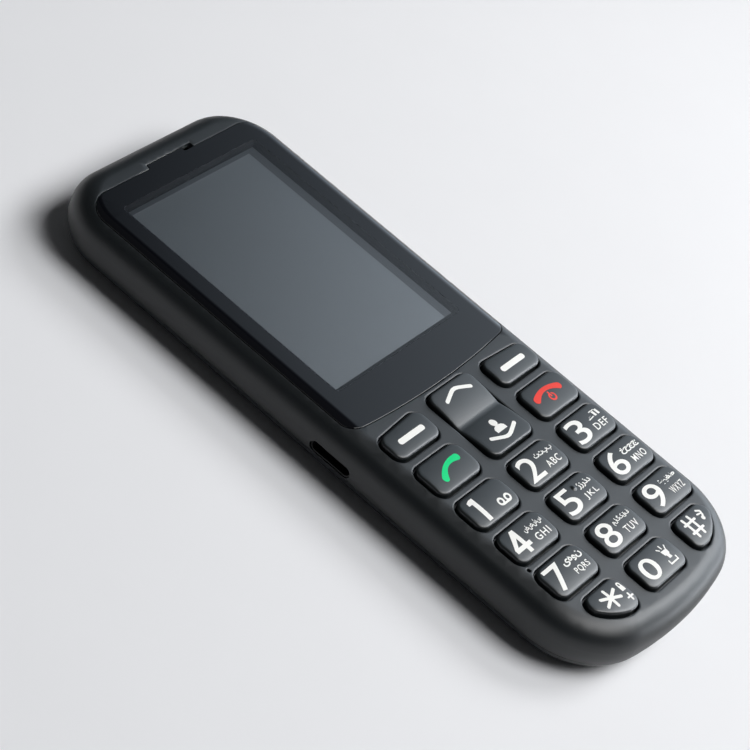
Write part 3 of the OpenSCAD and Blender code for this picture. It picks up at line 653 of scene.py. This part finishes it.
class PHONE_OT_front_housing(bpy.types.Operator):
    """Front housing with the window's recess, the key openings and the microphone hole"""

    bl_idname = "phone.front_housing"
    bl_label = "Front Housing"

    def execute(self, context):
        sizes = millimetres(context.scene.phone_sizes)
        plan = BodyPlan(sizes)
        parting = box_mm("front_housing")[1].z - sizes.front_edge
        openings = [(grow(window_loop(sizes, sizes.tab_width / 2), sizes.window_gap), sizes.window_edge)]
        openings += [(grow(key_plan(node, sizes), sizes.key_gap), sizes.opening_edge) for node in KEYS]
        key = box_mm("key_4")[0]
        mic = (key.x + sizes.key_flange + sizes.microphone_aside, (key.y + box_mm("key_7")[1].y) / 2)
        openings.append((arc(mic, sizes.microphone_hole / 2, 0, 360, 20), sizes.microphone_edge))
        # The sheet reaches to the rim, with points at more insets that let it follow the rounded edge.
        rim_inset, *insets = 1.3, 1.8, 2.4, 3.0, 3.6, 4.0, sizes.front_edge
        rim = plan.outline(rim_inset)
        steps = [p for inset in insets for p in plan.outline(inset)]
        mouths = [grow(loop, edge) for loop, edge in openings]
        shell = Solid()
        # Points just outside the key openings keep the face flat up to their edges.
        beside, clear, apart = 0.15, 0.13, 0.3
        flat = [p for loop, edge in openings[1:] for p in grow(loop, edge + beside)]
        extra = clear_of(steps, mouths, apart) + clear_of(flat, mouths, clear)
        ring, top_mouths = shell.sheet(rim, mouths, extra, plan.front)
        loops = [loop for loop, _ in openings]
        low, low_mouths = shell.sheet(rim, loops, clear_of(steps, loops, apart),
                                      lambda x, y: plan.front(x, y, sizes.wall))
        radius = sizes.front_edge
        turns = [math.radians(angle) for angle in (40, 32, 24, 16, 8, 0)]
        levels = [(radius * (1 - math.cos(turn)), parting + radius * math.sin(turn)) for turn in turns]
        levels.append((sizes.wall, parting))
        ring = shell.walls(ring, [(plan.outline(inset), height) for inset, height in levels])
        shell.wall(ring, low)
        for (loop, edge), mouth, under in zip(openings, top_mouths, low_mouths):
            shell.wall(shell.walls(mouth, rounding(loop, edge, LIP, plan.front)), under)
        shell.piece("front_shell", bpy.data.materials["Moulded ABS"], MAIN_BODY, "charcoal_plastic",
                    ["front_housing"])
        return {"FINISHED"}


class PHONE_OT_rear_shells(bpy.types.Operator):
    """Rear housing and battery cover, which take the bowed bottom end of the front housing"""

    bl_idname = "phone.rear_shells"
    bl_label = "Rear Housing and Cover"

    def execute(self, context):
        plan = BodyPlan(millimetres(context.scene.phone_sizes))
        self.bow("rear_housing", "rear_shell", MAIN_BODY, plan, REAR_REACH)
        self.bow("battery_cover", "cover_shell", "battery_cover", plan, COVER_REACH)
        return {"FINISHED"}

    def bow(self, node, name, body, plan, reach):
        """Bends the lower end of a copy of the CAD shell to the bowed plan, up to reach inside it.

        Cuts at every millimetre across the phone give the shell the points to bend at. Slivers and the edges
        that the bend leaves flat are dissolved again.
        """
        weld, snap, sliver, flat_degrees = 0.0005, 0.02, 0.01, 0.5
        straight_at = (plan.half_w - SOLID_CORNER, SOLID_CORNER - plan.half_l)
        outermost = int(plan.half_w) - 1
        work = bmesh.new()
        work.from_mesh(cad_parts[node].data)
        bmesh.ops.remove_doubles(work, verts=work.verts, dist=weld * MM)
        for x in range(-outermost, outermost + 1):
            lower = [f for f in work.faces if min(v.co.y for v in f.verts) < straight_at[1] * MM]
            region = {*lower, *[e for f in lower for e in f.edges], *[v for f in lower for v in f.verts]}
            bmesh.ops.bisect_plane(work, geom=list(region), dist=snap * MM, plane_co=(x * MM, 0, 0),
                                   plane_no=(1, 0, 0))
        for vert in work.verts:
            x, y = vert.co.x / MM, vert.co.y / MM
            away = Vector((abs(x), y)) - Vector(straight_at)
            if away.y > 0:
                continue
            inset = SOLID_CORNER - away.length if away.x > 0 else plan.half_l + y
            share = max(0, 1 - max(inset, 0) / reach)
            vert.co.y += (plan.bottom(x, inset) - y) * share * MM
        bmesh.ops.dissolve_degenerate(work, dist=sliver * MM, edges=work.edges)
        bmesh.ops.dissolve_limit(work, angle_limit=math.radians(flat_degrees), verts=work.verts,
                                 edges=work.edges)
        mesh = bpy.data.meshes.new(name)
        work.to_mesh(mesh)
        work.free()
        finish_piece(name, mesh, bpy.data.materials["Moulded ABS"], body, [node], 30)


class PHONE_OT_window(bpy.types.Operator):
    """Window with its black border and clear pane, and the display's border"""

    bl_idname = "phone.window"
    bl_label = "Window and Display"

    def execute(self, context):
        sizes = millimetres(context.scene.phone_sizes)
        colours = context.scene.phone_colours
        self.plan = BodyPlan(sizes)
        self.back = box_mm("display_window")[0].z
        self.picture = self.picture_loop(sizes, 0, 0)
        self.pane_loop = grow(self.picture, sizes.ink_slope)
        border = self.border(sizes, inked_acrylic(colours.window_ink))
        self.pane(sizes, clear_acrylic())
        ink = self.ink(sizes, screen_ink(colours.window_ink))
        lip = self.display_border(sizes, polariser("Polariser border", colours.display_border, 1.2))
        # The display is lit as if it were bonded to the window: what stands round it isn't mirrored in it.
        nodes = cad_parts
        for piece in (border, ink, lip, nodes["lcd_gasket"], nodes["window_tape"]):
            piece.visible_glossy = False
            piece.visible_shadow = piece is border
        return {"FINISHED"}

    def picture_loop(self, sizes, lap_x, lap_y):
        """Plan of the display's picture, made smaller by a lap at its sides and at its ends."""
        half_w, half_h = sizes.picture_width / 2 - lap_x, sizes.picture_height / 2 - lap_y
        return rectangle(-half_w, half_w, sizes.picture_y - half_h, sizes.picture_y + half_h,
                         sizes.picture_corner)

    def border(self, sizes, material):
        """Window with its printed border, open where the clear pane lies."""
        # Points at these insets let the window follow the rounded edge of the housing.
        insets = (2.6, 2.85, 3.1, 3.4, 3.7, 4.0, sizes.front_edge)
        apart, fine = 0.3, 3
        edge = sizes.window_edge / 3
        loop = window_loop(sizes, sizes.tab_width / 2 - sizes.sound_slot)
        face = grow(loop, -edge)
        steps = [p for inset in insets for p in self.plan.outline(inset, fine)]
        inner = [p for p in clear_of(steps, [face, self.pane_loop], apart) if inside(p, face)]
        border = Solid()
        ring, (mouth,) = border.sheet(face, [self.pane_loop], inner, self.plan.front)
        inward = [(-aside, drop) for aside, drop in LIP]
        ring = border.walls(ring, rounding(loop, edge, inward, self.plan.front))
        back, (under,) = border.sheet(loop, [self.pane_loop], [], self.back)
        border.wall(ring, back)
        border.wall(mouth, under)
        return border.piece("window_border", material, MAIN_BODY, "window", ["display_window"], 12)

    def pane(self, sizes, material):
        """Clear pane over the picture, which lies just above the sunk ink."""
        pane = Solid()
        top = pane.ring(self.pane_loop, self.plan.face)
        front = pane.ring(self.picture, self.plan.face - sizes.ink_depth + INK_GAP)
        back = pane.ring(self.picture, self.back)
        pane.faces += [tuple(top), tuple(back)]
        pane.wall(top, front)
        pane.wall(front, back)
        pane.piece("window_pane", material, MAIN_BODY, "window")

    def ink(self, sizes, material):
        """Inner edge of the printed border, which sinks towards the picture."""
        ink = Solid()
        rings = [ink.ring(self.pane_loop, self.plan.face - INK_GAP),
                 ink.ring(self.picture, self.plan.face - sizes.ink_depth),
                 ink.ring(self.picture, self.back), ink.ring(self.pane_loop, self.back)]
        for upper, lower in zip(rings, rings[1:] + rings[:1]):
            ink.wall(upper, lower)
        return ink.piece("window_ink", material, MAIN_BODY, "window", sharp=20)

    def display_border(self, sizes, material):
        """Thin film round the display's picture, laid on the gasket."""
        corner, under, over = 0.3, 0.005, 0.03
        low, high = box_mm("lcd_gasket")
        edge = rectangle(low.x, high.x, low.y, high.y, corner)
        mouth = self.picture_loop(sizes, sizes.border_lap, sizes.border_lap / 3)
        film = Solid()
        top, (mouth_top,) = film.sheet(edge, [mouth], [], high.z + over)
        back, (mouth_back,) = film.sheet(edge, [mouth], [], high.z + under)
        film.wall(top, back)
        film.wall(mouth_top, mouth_back)
        return film.piece("display_border", material, MAIN_BODY, "display")


class PHONE_OT_keys(bpy.types.Operator):
    """All keys, with rounded edges and crowned tops"""

    bl_idname = "phone.keys"
    bl_label = "Keys"

    def execute(self, context):
        sizes = millimetres(context.scene.phone_sizes)
        for node in KEYS:
            self.key(node, sizes)
        return {"FINISHED"}

    def key(self, node, sizes):
        """One key: its crowned top, the rounded edge round it and the flange under the housing."""
        step, apart = 0.55, 0.25
        foot = box_mm(node)[0].z
        loop = key_plan(node, sizes)
        height = key_top(node, sizes)
        edge = sizes.key_edge
        flange_top = foot + (sizes.nav_flange_height if node == "nav_key" else sizes.flange_height)
        face = grow(loop, -edge)
        extra = [p for p in clear_of(grid_points(face, step), [face], apart) if inside(p, face)]
        if node == "key_5":
            dot = dot_place(sizes)
            *dot_rings, dot_clear = 0.15, 0.3, 0.42, 0.52, 0.58, 0.66, 0.75
            extra = [p for p in extra if math.dist(p, dot) > dot_clear]
            extra += [dot, *[p for r in dot_rings for p in arc(dot, r, 0, 360, 20)]]
        cap = Solid()
        ring, _ = cap.sheet(face, [], extra, height)
        turns = [math.radians(angle) for angle in (75, 60, 45, 30, 15, 0)]
        shares = [(math.cos(turn) - 1, 1 - math.sin(turn)) for turn in turns]
        ring = cap.walls(ring, rounding(loop, edge, shares, height))
        flange = grow(loop, sizes.key_flange)
        ring = cap.walls(ring, [(loop, flange_top), (flange, flange_top), (flange, foot)])
        cap.faces.append(tuple(ring))
        cap.piece(node + "_cap", bpy.data.materials["Satin polycarbonate"], node, "key_plastic", [node])


# Printed signs: polygons in millimetres from the middle of the key

def words(text, x0, x1, y0, y1, bold=0, apart=1):
    """Polygons of a text that fills a box, its strokes thickened by bold and its letters set apart."""
    capitals = 0.7  # height of the font's capitals as a share of its size
    curve = bpy.data.curves.new("words", "FONT")
    curve.body = text
    curve.space_character = apart
    carrier = bpy.data.objects.new("words", curve)
    bpy.context.scene.collection.objects.link(carrier)
    curve.offset = bold * curve.size * capitals / (y1 - y0)
    bpy.context.view_layer.update()
    mesh = carrier.evaluated_get(bpy.context.evaluated_depsgraph_get()).to_mesh()
    xs, ys = [v.co.x for v in mesh.vertices], [v.co.y for v in mesh.vertices]
    if not xs:
        raise ValueError(f"the font has no letters for {text!r}")
    wide, tall = (x1 - x0) / (max(xs) - min(xs)), (y1 - y0) / (max(ys) - min(ys))
    polygons = [[(x0 + (xs[i] - min(xs)) * wide, y0 + (ys[i] - min(ys)) * tall) for i in face.vertices]
                for face in mesh.polygons]
    bpy.data.objects.remove(carrier)
    bpy.data.curves.remove(curve)
    return polygons


def stroke(points, width, end_width=None):
    """Polygons of a line with round ends, which may widen from its middle to its ends."""
    polygons = []
    last = len(points) - 1
    widths = [width + ((end_width or width) - width) * abs(2 * i / last - 1) ** 2 if last else width
              for i in range(last + 1)]
    for p, w in zip(points, widths):
        polygons += disc(p, w / 2, 16)
    for (a, wa), (b, wb) in zip(zip(points, widths), zip(points[1:], widths[1:])):
        side = Vector((a[1] - b[1], b[0] - a[0])).normalized() / 2
        polygons.append([(a[0] + side.x * wa, a[1] + side.y * wa), (a[0] - side.x * wa, a[1] - side.y * wa),
                         (b[0] - side.x * wb, b[1] - side.y * wb), (b[0] + side.x * wb, b[1] + side.y * wb)])
    return polygons


def disc(centre, radius, steps=24):
    """The one polygon of a disc."""
    return [arc(centre, radius, 0, 360, steps)]


def handset(start, middle, end):
    """Telephone handset drawn as one bowed stroke through its middle, with thicker rounded ends."""
    a, m, b = Vector(start), Vector(middle), Vector(end)
    bend = 2 * m - (a + b) / 2
    path = [a * (1 - t) ** 2 + bend * 2 * t * (1 - t) + b * t ** 2 for t in [i / 20 for i in range(21)]]
    waist, ends = 0.9, 1.45
    return stroke([tuple(p) for p in path], waist, ends)


def number_signs():
    """Figures, Latin letters and second-script letters of the number keys."""
    latin = {2: "ABC", 3: "DEF", 4: "GHI", 5: "JKL", 6: "MNO", 7: "PQRS", 8: "TUV", 9: "WXYZ"}
    second = {2: "ثتپب", 3: "ءآا", 4: "ضصشس",
              5: "ژزرذد", 6: "خحچج", 7: "یهون",
              8: "ملگکقف", 9: "غعظط"}
    figure_box = (-5.2, -0.8, -2.4, 2.6)
    latin_box, latin_bold, latin_apart = (0.75, 4.8, -1.85, -0.4), 0.02, 1.2
    second_span, second_spans = (-0.1, 5.3), {3: (1.1, 4.9), 5: (1.3, 5.3)}
    second_rows = (0.4, 1.9)
    second_bold, second_bolds = 0.06, {6: 0.09, 9: 0.11}
    four = [[(-2.75, -2.4), (-1.75, -2.4), (-1.75, 2.6), (-2.75, 2.6)],
            [(-5.2, -1.4), (-0.8, -1.4), (-0.8, -0.55), (-5.2, -0.55)],
            [(-5.2, -0.6), (-4.15, -0.6), (-2.3, 1.5), (-2.3, 2.6), (-2.75, 2.6)]]
    signs = {}
    for n in range(2, 10):
        figure = four if n == 4 else words(str(n), *figure_box, FIGURE_BOLD)
        letters = words(latin[n], *latin_box, latin_bold, latin_apart)
        span = second_spans.get(n, second_span)
        letters += words(second[n], *span, *second_rows, second_bolds.get(n, second_bold))
        signs[f"key_{n}"] = figure + letters
    return signs


def other_signs():
    """Signs of the remaining keys."""
    caret = [(-3.6, 5.1), (-1.0, 6.15), (-0.3, 6.35), (0.5, 6.35), (1.2, 6.15), (3.8, 5.1)]
    shoulders = [(-1.15, -4.8), (1.75, -4.8), (1.75, -4.0), (1.35, -3.6), (0.75, -3.4), (-0.15, -3.4),
                 (-0.75, -3.6), (-1.15, -4.0)]
    person = disc((0.3, -2.65), 0.82) + [shoulders]
    reels = [stroke(curved((x, -1.2), 0.62, 0, 360), 0.42) for x in (1.95, 4.0)]
    voicemail = reels[0] + reels[1] + stroke([(1.95, -1.85), (4.0, -1.85)], 0.4)
    one = [[(-3.4, -2.65), (-2.35, -2.65), (-2.35, 2.4), (-3.4, 2.4)],
           [(-4.2, 1.4), (-3.3, 1.4), (-3.3, 2.4), (-4.15, 2.1)]]
    asterisk = (stroke([(1.25, 2.15), (1.25, -1.2)], 0.66) + stroke([(-0.8, -0.4), (3.4, 1.4)], 0.62)
                + stroke([(-0.8, 1.35), (3.4, -0.35)], 0.62))
    padlock = ([[(4.6, 0.05), (5.65, 0.05), (5.65, 1.1), (4.6, 1.1)]]
               + stroke([(4.8, 1.1), *curved((5.12, 1.45), 0.32, 180, 0), (5.44, 1.1)], 0.32))
    plus = stroke([(4.3, -1.35), (5.7, -1.35)], 0.34) + stroke([(5.0, -2.0), (5.0, -0.7)], 0.42)
    torch = [[(2.2, 0.8), (3.95, 0.7), (3.85, -0.15), (3.55, -0.35), (3.6, -1.05), (2.75, -1.05),
              (2.7, -0.35), (2.35, -0.15)]]
    rays = (stroke([(4.3, 1.4), (3.85, 0.8)], 0.26) + stroke([(3.05, 1.8), (3.1, 1.15)], 0.28)
            + stroke([(1.9, 1.5), (2.3, 1.05)], 0.26))
    blank = stroke([(1.95, -1.3), (1.95, -1.95), (4.25, -1.95), (4.25, -1.3)], 0.3)
    hashes = (stroke([(-2.0, 2.4), (-2.0, -1.6)], 0.6) + stroke([(-3.75, 2.4), (-3.75, -1.6)], 0.6)
              + stroke([(-4.45, 1.3), (-1.1, 1.3)], 0.5) + stroke([(-4.45, -0.65), (-1.1, -0.65)], 0.5))
    note = (stroke([(0.75, 2.2), (1.5, 1.75), (1.25, 1.0), (0.7, 0.4)], 0.42) + disc((0.65, 0.42), 0.45)
            + stroke([(0.15, 1.5), (0.95, 1.35)], 0.34))
    power = stroke(curved((-0.2, -0.8), 0.74, 125, 415), 0.36) + stroke([(-0.3, -0.6), (-0.35, 0.3)], 0.36)
    return {
        "soft_key_left": stroke([(-3.0, -0.35), (3.3, -0.35)], 1.15),
        "soft_key_right": stroke([(-3.2, -0.35), (3.0, -0.35)], 1.15),
        "nav_key": stroke(caret, 0.75) + stroke([(x, 0.2 - y) for x, y in caret], 0.75) + person,
        "call_key": handset((-2.65, -1.15), (-0.1, 0.65), (3.2, 0.8)),
        "end_key": handset((-3.95, 0.2), (-0.4, 1.2), (3.15, 0.2)) + power,
        "key_1": one + voicemail,
        "star_key": asterisk + padlock + plus,
        "key_0": words("0", -5.0, -0.6, -2.3, 1.95, FIGURE_BOLD) + torch + rays + blank,
        "hash_key": hashes + note,
    }


class PHONE_OT_prints(bpy.types.Operator):
    """Printed signs on the keys, each a thin film that follows its key's top"""

    bl_idname = "phone.prints"
    bl_label = "Prints"

    def execute(self, context):
        sizes = millimetres(context.scene.phone_sizes)
        colours = context.scene.phone_colours
        inks = {name: pad_print(label, getattr(colours, name)) for name, label in (
            ("white_print", "White ink"), ("green_print", "Green ink"), ("red_print", "Red ink"))}
        row, column = middle_mm("key_0"), middle_mm("key_1")
        for node, polygons in {**number_signs(), **other_signs()}.items():
            middle = middle_mm(node)
            if node in CORNER_KEYS:
                middle.y = row.y
            if node in CORNER_KEYS or node.startswith("soft"):
                middle.x = math.copysign(column.x, middle.x)
            ink = {"call_key": "green_print", "end_key": "red_print"}.get(node, "white_print")
            placed = [[(x + middle.x, y + middle.y) for x, y in polygon] for polygon in polygons]
            self.film(node, placed, sizes, inks[ink], ink)
        return {"FINISHED"}

    def film(self, node, polygons, sizes, material, slot):
        """Joins overlapping polygons into one film that lies on the key."""
        edge_step, grid_step, least_area, nearness = 0.35, 0.45, 1e-4, 1e-5
        height = key_top(node, sizes)
        points, faces = [], []
        for polygon in polygons:
            area = sum(a[0] * b[1] - b[0] * a[1] for a, b in zip(polygon, polygon[1:] + polygon[:1])) / 2
            if abs(area) < least_area:
                continue
            loop = refine(polygon if area > 0 else polygon[::-1], edge_step)
            faces.append(list(range(len(points), len(points) + len(loop))))
            points += loop
        points += grid_points(points, grid_step)
        found, _, cells, _, _, origin = delaunay_2d_cdt([Vector(p) for p in points], [], faces, 0, nearness)
        film = Solid()
        top = film.ring([tuple(p) for p in found], lambda x, y: height(x, y) + sizes.print_lift)
        back = film.ring([tuple(p) for p in found], lambda x, y: height(x, y) - sizes.print_root)
        edges = {}
        for cell, sources in zip(cells, origin):
            if not sources:
                continue
            film.faces += [tuple(top[i] for i in cell), tuple(back[i] for i in reversed(cell))]
            for a, b in zip(cell, [*cell[1:], cell[0]]):
                edges.setdefault((min(a, b), max(a, b)), []).append((a, b))
        for uses in edges.values():
            if len(uses) == 1:
                a, b = uses[0]
                film.faces.append((top[b], top[a], back[a], back[b]))
        film.piece(node + "_print", material, node, slot)


class PHONE_OT_inner_parts(bpy.types.Operator):
    """Finishes of the CAD parts that show through openings or when the cover is off"""

    bl_idname = "phone.inner_parts"
    bl_label = "Inner Parts"

    def execute(self, context):
        # Plated sheet is bright with a soft sheen, and fired tungsten is grey and dull.
        steel = bare_metal("Nickel-plated steel", srgb("#b9b9b4"), 0.4, (0.25, 0.38))
        tungsten = bare_metal("Sintered tungsten", srgb("#6c6c6c"), 0.2, (0.4, 0.55))
        copper = bare_metal("Stamped copper", srgb("#c98a5a"), 0.4, (0.25, 0.35))
        # Moulded inner parts are plain and half dull.
        black = grained("Black nylon", srgb("#151617"), 0.05, 0.3, 0.003, (0.45, 0.55), IOR=1.53)
        white = grained("White polycarbonate", srgb("#e6e6e2"), 0.02, 0.3, 0.002, (0.35, 0.45), IOR=1.58)
        # Films and shrunk sleeves are smooth and shiny, with slight waves.
        amber = grained("Polyimide film", srgb("#9a5a1c"), 0.1, 0.5, 0.002, (0.2, 0.3), IOR=1.7)
        milky = grained("Polyester film", srgb("#b8bcbc"), 0.03, 0.5, 0.001, (0.15, 0.25), IOR=1.57)
        sleeve = grained("Shrink-wrapped cell", srgb("#22252a"), 0.06, 0.9, 0.006, (0.3, 0.42), IOR=1.5)
        picture = polariser("Polariser film", context.scene.phone_colours.display, 2.0)
        foam = soft_rubber("Closed-cell foam", srgb("#17181a"))
        rubber = soft_rubber("Moulded silicone", srgb("#6d7071"))
        mesh = woven_mesh()
        finishes = {
            "window_tape": black, "lcd_gasket": foam, "lcd_panel": picture, "lcd_frame": white,
            "lcd_flex": amber, "earpiece": steel, "earpiece_mesh": mesh, "main_board": circuit_board(),
            "metal_domes": steel, "keypad_mat": rubber, "shield_can": steel, "dome_sheet": milky,
            # The charging socket takes the black nylon instead of plated steel: painted shade that keeps its
            # mouth dark.
            "sim_holder": steel, "usb_socket": black, "battery_contacts": black, "loudspeaker": steel,
            "battery_pack": sleeve, "speaker_mesh": mesh, "vibrator_motor": steel, "microphone": steel,
            "torch_led": white, "vibrator_weight": tungsten, "antenna": copper, "torch_lens": lamp_lens(),
            "housing_screws": steel,
        }
        for node, material in finishes.items():
            mesh_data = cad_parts[node].data
            mesh_data.materials.clear()
            mesh_data.materials.append(material)
        return {"FINISHED"}


class PHONE_OT_stage(bpy.types.Operator):
    """Pale floor, soft light and the camera"""

    bl_idname = "phone.stage"
    bl_label = "Stage"

    def execute(self, context):
        scene = context.scene
        scene.view_settings.view_transform = "Standard"
        self.floor(scene)
        self.light(scene)
        self.camera(scene)
        return {"FINISHED"}

    def plane(self, scene, name, corners, material):
        """One flat face of the stage."""
        mesh = bpy.data.meshes.new(name)
        mesh.from_pydata([Vector(c) * MM for c in corners], [], [(0, 1, 2, 3)])
        mesh.materials.append(material)
        made = bpy.data.objects.new(name, mesh)
        scene.collection.objects.link(made)
        return made

    def floor(self, scene):
        """Uncoated paper: pale, wholly dull and even, so that only the phone's shadow draws on it."""
        colours = scene.phone_colours
        paper = grained("Backdrop paper", colours.floor, 0.01, 2, 0.002, (0.8, 0.9),
                        **{"Specular IOR Level": 0.0})
        self.dim_bounce(paper.node_tree, colours.floor_bounce)
        reach = 3000
        corners = [(-reach, -reach, 0), (reach, -reach, 0), (reach, reach, 0), (-reach, reach, 0)]
        self.plane(scene, "floor", corners, paper)

    def dim_bounce(self, tree, bounce):
        """Keeps the floor pale where it is seen or mirrored, and darker in what it throws back.

        Away from the phone the floor that is seen fades to an even tone, whatever light falls there.
        """
        near, far, tone = 130, 350, 0.9
        shader = tree.nodes["Principled BSDF"]
        pale = shader.inputs["Base Color"].links[0].from_socket
        path = add_node(tree, "ShaderNodeLightPath").outputs
        seen = add_node(tree, "ShaderNodeMath", {
            0: path["Is Camera Ray"], 1: path["Is Glossy Ray"]}, operation="ADD")
        seen = add_node(tree, "ShaderNodeMath", {
            0: seen.outputs["Value"], 1: path["Is Transmission Ray"]}, operation="ADD", use_clamp=True)
        both = add_node(tree, "ShaderNodeMix", {"Factor": seen.outputs["Value"]}, data_type="RGBA")
        both.inputs["A"].default_value = [*bounce, 1]
        tree.links.new(pale, both.inputs["B"])
        tree.links.new(both.outputs["Result"], shader.inputs["Base Color"])
        away = add_node(tree, "ShaderNodeVectorMath", {
            0: tree.nodes["Texture Coordinate"].outputs["Object"]}, operation="LENGTH")
        distant = add_node(tree, "ShaderNodeMapRange", {
            "Value": away.outputs["Value"], "From Min": near * MM, "From Max": far * MM},
            interpolation_type="SMOOTHSTEP")
        share = add_node(tree, "ShaderNodeMath", {0: distant.outputs["Result"], 1: seen.outputs["Value"]},
                         operation="MULTIPLY")
        glow = add_node(tree, "ShaderNodeEmission", {"Color": pale, "Strength": tone})
        mixed = add_node(tree, "ShaderNodeMixShader", {
            "Fac": share.outputs["Value"], 1: shader.outputs["BSDF"], 2: glow.outputs["Emission"]})
        tree.links.new(mixed.outputs["Shader"], tree.nodes["Material Output"].inputs["Surface"])

    def light(self, scene):
        """Dim world, panels for the face to mirror, a wide lamp above and a small one for the far edge."""
        world = bpy.data.worlds.new("Studio")
        world.use_nodes = True
        sky = world.node_tree.nodes["Background"].inputs
        sky["Color"].default_value = (0.96, 0.98, 1.0, 1)
        sky["Strength"].default_value = 0.04
        scene.world = world
        self.panel(scene, "side_panel", 1, (-250, 650), (40, 1170))
        self.panel(scene, "end_panel", 1.6, (-430, -250), (260, 900))
        self.panel(scene, "low_panel", 1.7, (-700, -250), (5, 80))
        self.lamp(scene, "key_light", (150, -480, 880), 600, 8.2)
        self.lamp(scene, "edge_light", (385, -175, 393), 220, 1.3)

    def panel(self, scene, name, gain, along, height):
        """Lit panel on the far side, which the face and the window mirror.

        It spans along and height, and its light fades upwards and towards the earpiece. The camera
        doesn't see it, and it lights only what mirrors it, so that the floor keeps an even tone.
        """
        panel_x = 520
        bright_y, faint_y, faint, power = -500, 400, 0.03, 1.5
        low_z, high_z, low_level, high_level = 78, 780, 11.0, 0.5
        faint_tint, bright_tint = (0.77, 0.92, 1.08, 1), (0.94, 0.99, 1.05, 1)
        material, tree, output, place = new_material(name)
        axes = add_node(tree, "ShaderNodeSeparateXYZ", {"Vector": place}).outputs
        fade = add_node(tree, "ShaderNodeMapRange", {
            "Value": axes["Y"], "From Min": bright_y * MM, "From Max": faint_y * MM,
            "To Min": 1.0, "To Max": faint})
        steep = add_node(tree, "ShaderNodeMath", {0: fade.outputs["Result"], 1: power}, operation="POWER")
        foot = add_node(tree, "ShaderNodeMapRange", {
            "Value": axes["Z"], "From Min": low_z * MM, "From Max": high_z * MM,
            "To Min": low_level * gain, "To Max": high_level * gain})
        level = add_node(tree, "ShaderNodeMath", {0: steep.outputs["Value"], 1: foot.outputs["Result"]},
                         operation="MULTIPLY")
        tint = add_node(tree, "ShaderNodeMix", {"Factor": fade.outputs["Result"]}, data_type="RGBA")
        tint.inputs["A"].default_value = faint_tint
        tint.inputs["B"].default_value = bright_tint
        glow = add_node(tree, "ShaderNodeEmission", {
            "Color": tint.outputs["Result"], "Strength": level.outputs["Value"]})
        tree.links.new(glow.outputs["Emission"], output.inputs["Surface"])
        (y0, y1), (z0, z1) = along, height
        corners = [(panel_x, y0, z0), (panel_x, y1, z0), (panel_x, y1, z1), (panel_x, y0, z1)]
        panel = self.plane(scene, name, corners, material)
        panel.visible_camera = panel.visible_diffuse = panel.visible_shadow = False

    def lamp(self, scene, name, place, width, power):
        """Square lamp that faces the phone."""
        data = bpy.data.lights.new(name, "AREA")
        data.shape = "SQUARE"
        data.size = width * MM
        data.energy = power
        lamp = bpy.data.objects.new(name, data)
        lamp.location = Vector(place) * MM
        lamp.rotation_euler = (-Vector(place)).to_track_quat("-Z", "Y").to_euler()
        scene.collection.objects.link(lamp)

    def camera(self, scene):
        """Camera from the left, above the charging slot, turned so that the phone lies across the picture."""
        place = Vector((-349.1, -109.75, 302.34))
        ahead = Vector((0.73747, 0.2418, -0.63061)).normalized()
        right = ahead.cross(Vector((0.37665, 0.62778, 0.68119))).normalized()
        up = right.cross(ahead)
        data = bpy.data.cameras.new("camera")
        data.sensor_width = 36
        data.lens = 129.6
        data.clip_start = 0.01
        camera = bpy.data.objects.new("camera", data)
        turn = Matrix((right, up, -ahead)).transposed().to_4x4()
        camera.matrix_world = Matrix.Translation(place * MM) @ turn
        scene.collection.objects.link(camera)
        scene.camera = camera


class PHONE_OT_materials(bpy.types.Operator):
    """Plastics that several pieces share"""

    bl_idname = "phone.materials"
    bl_label = "Plastics"

    def execute(self, context):
        moulded_abs(context.scene.phone_colours.housing)
        satin_keycap(context.scene.phone_colours.keys)
        return {"FINISHED"}


PIECES = (PHONE_OT_materials, PHONE_OT_front_housing, PHONE_OT_rear_shells, PHONE_OT_window, PHONE_OT_keys,
          PHONE_OT_prints, PHONE_OT_inner_parts, PHONE_OT_stage)


class PHONE_PT_panel(bpy.types.Panel):
    """Buttons for the phone's pieces, with their sizes and colours"""

    bl_idname = "PHONE_PT_panel"
    bl_label = "Feature Phone"
    bl_space_type = "VIEW_3D"
    bl_region_type = "UI"
    bl_category = "Phone"

    def draw(self, context):
        for operator in PIECES:
            self.layout.operator(operator.bl_idname)
        for group in (context.scene.phone_sizes, context.scene.phone_colours):
            column = self.layout.column()
            for name in group.__annotations__:
                column.prop(group, name)


CLASSES = (PhoneSizes, PhoneColours, *PIECES, PHONE_PT_panel)


def register():
    for cls in CLASSES:
        bpy.utils.register_class(cls)
    bpy.types.Scene.phone_sizes = PointerProperty(type=PhoneSizes)
    bpy.types.Scene.phone_colours = PointerProperty(type=PhoneColours)


def unregister():
    del bpy.types.Scene.phone_sizes
    del bpy.types.Scene.phone_colours
    for cls in reversed(CLASSES):
        bpy.utils.unregister_class(cls)


def main():
    register()
    for operator in PIECES:
        group, name = operator.bl_idname.split(".")
        getattr(getattr(bpy.ops, group), name)()


if __name__ == "__main__":
    main()
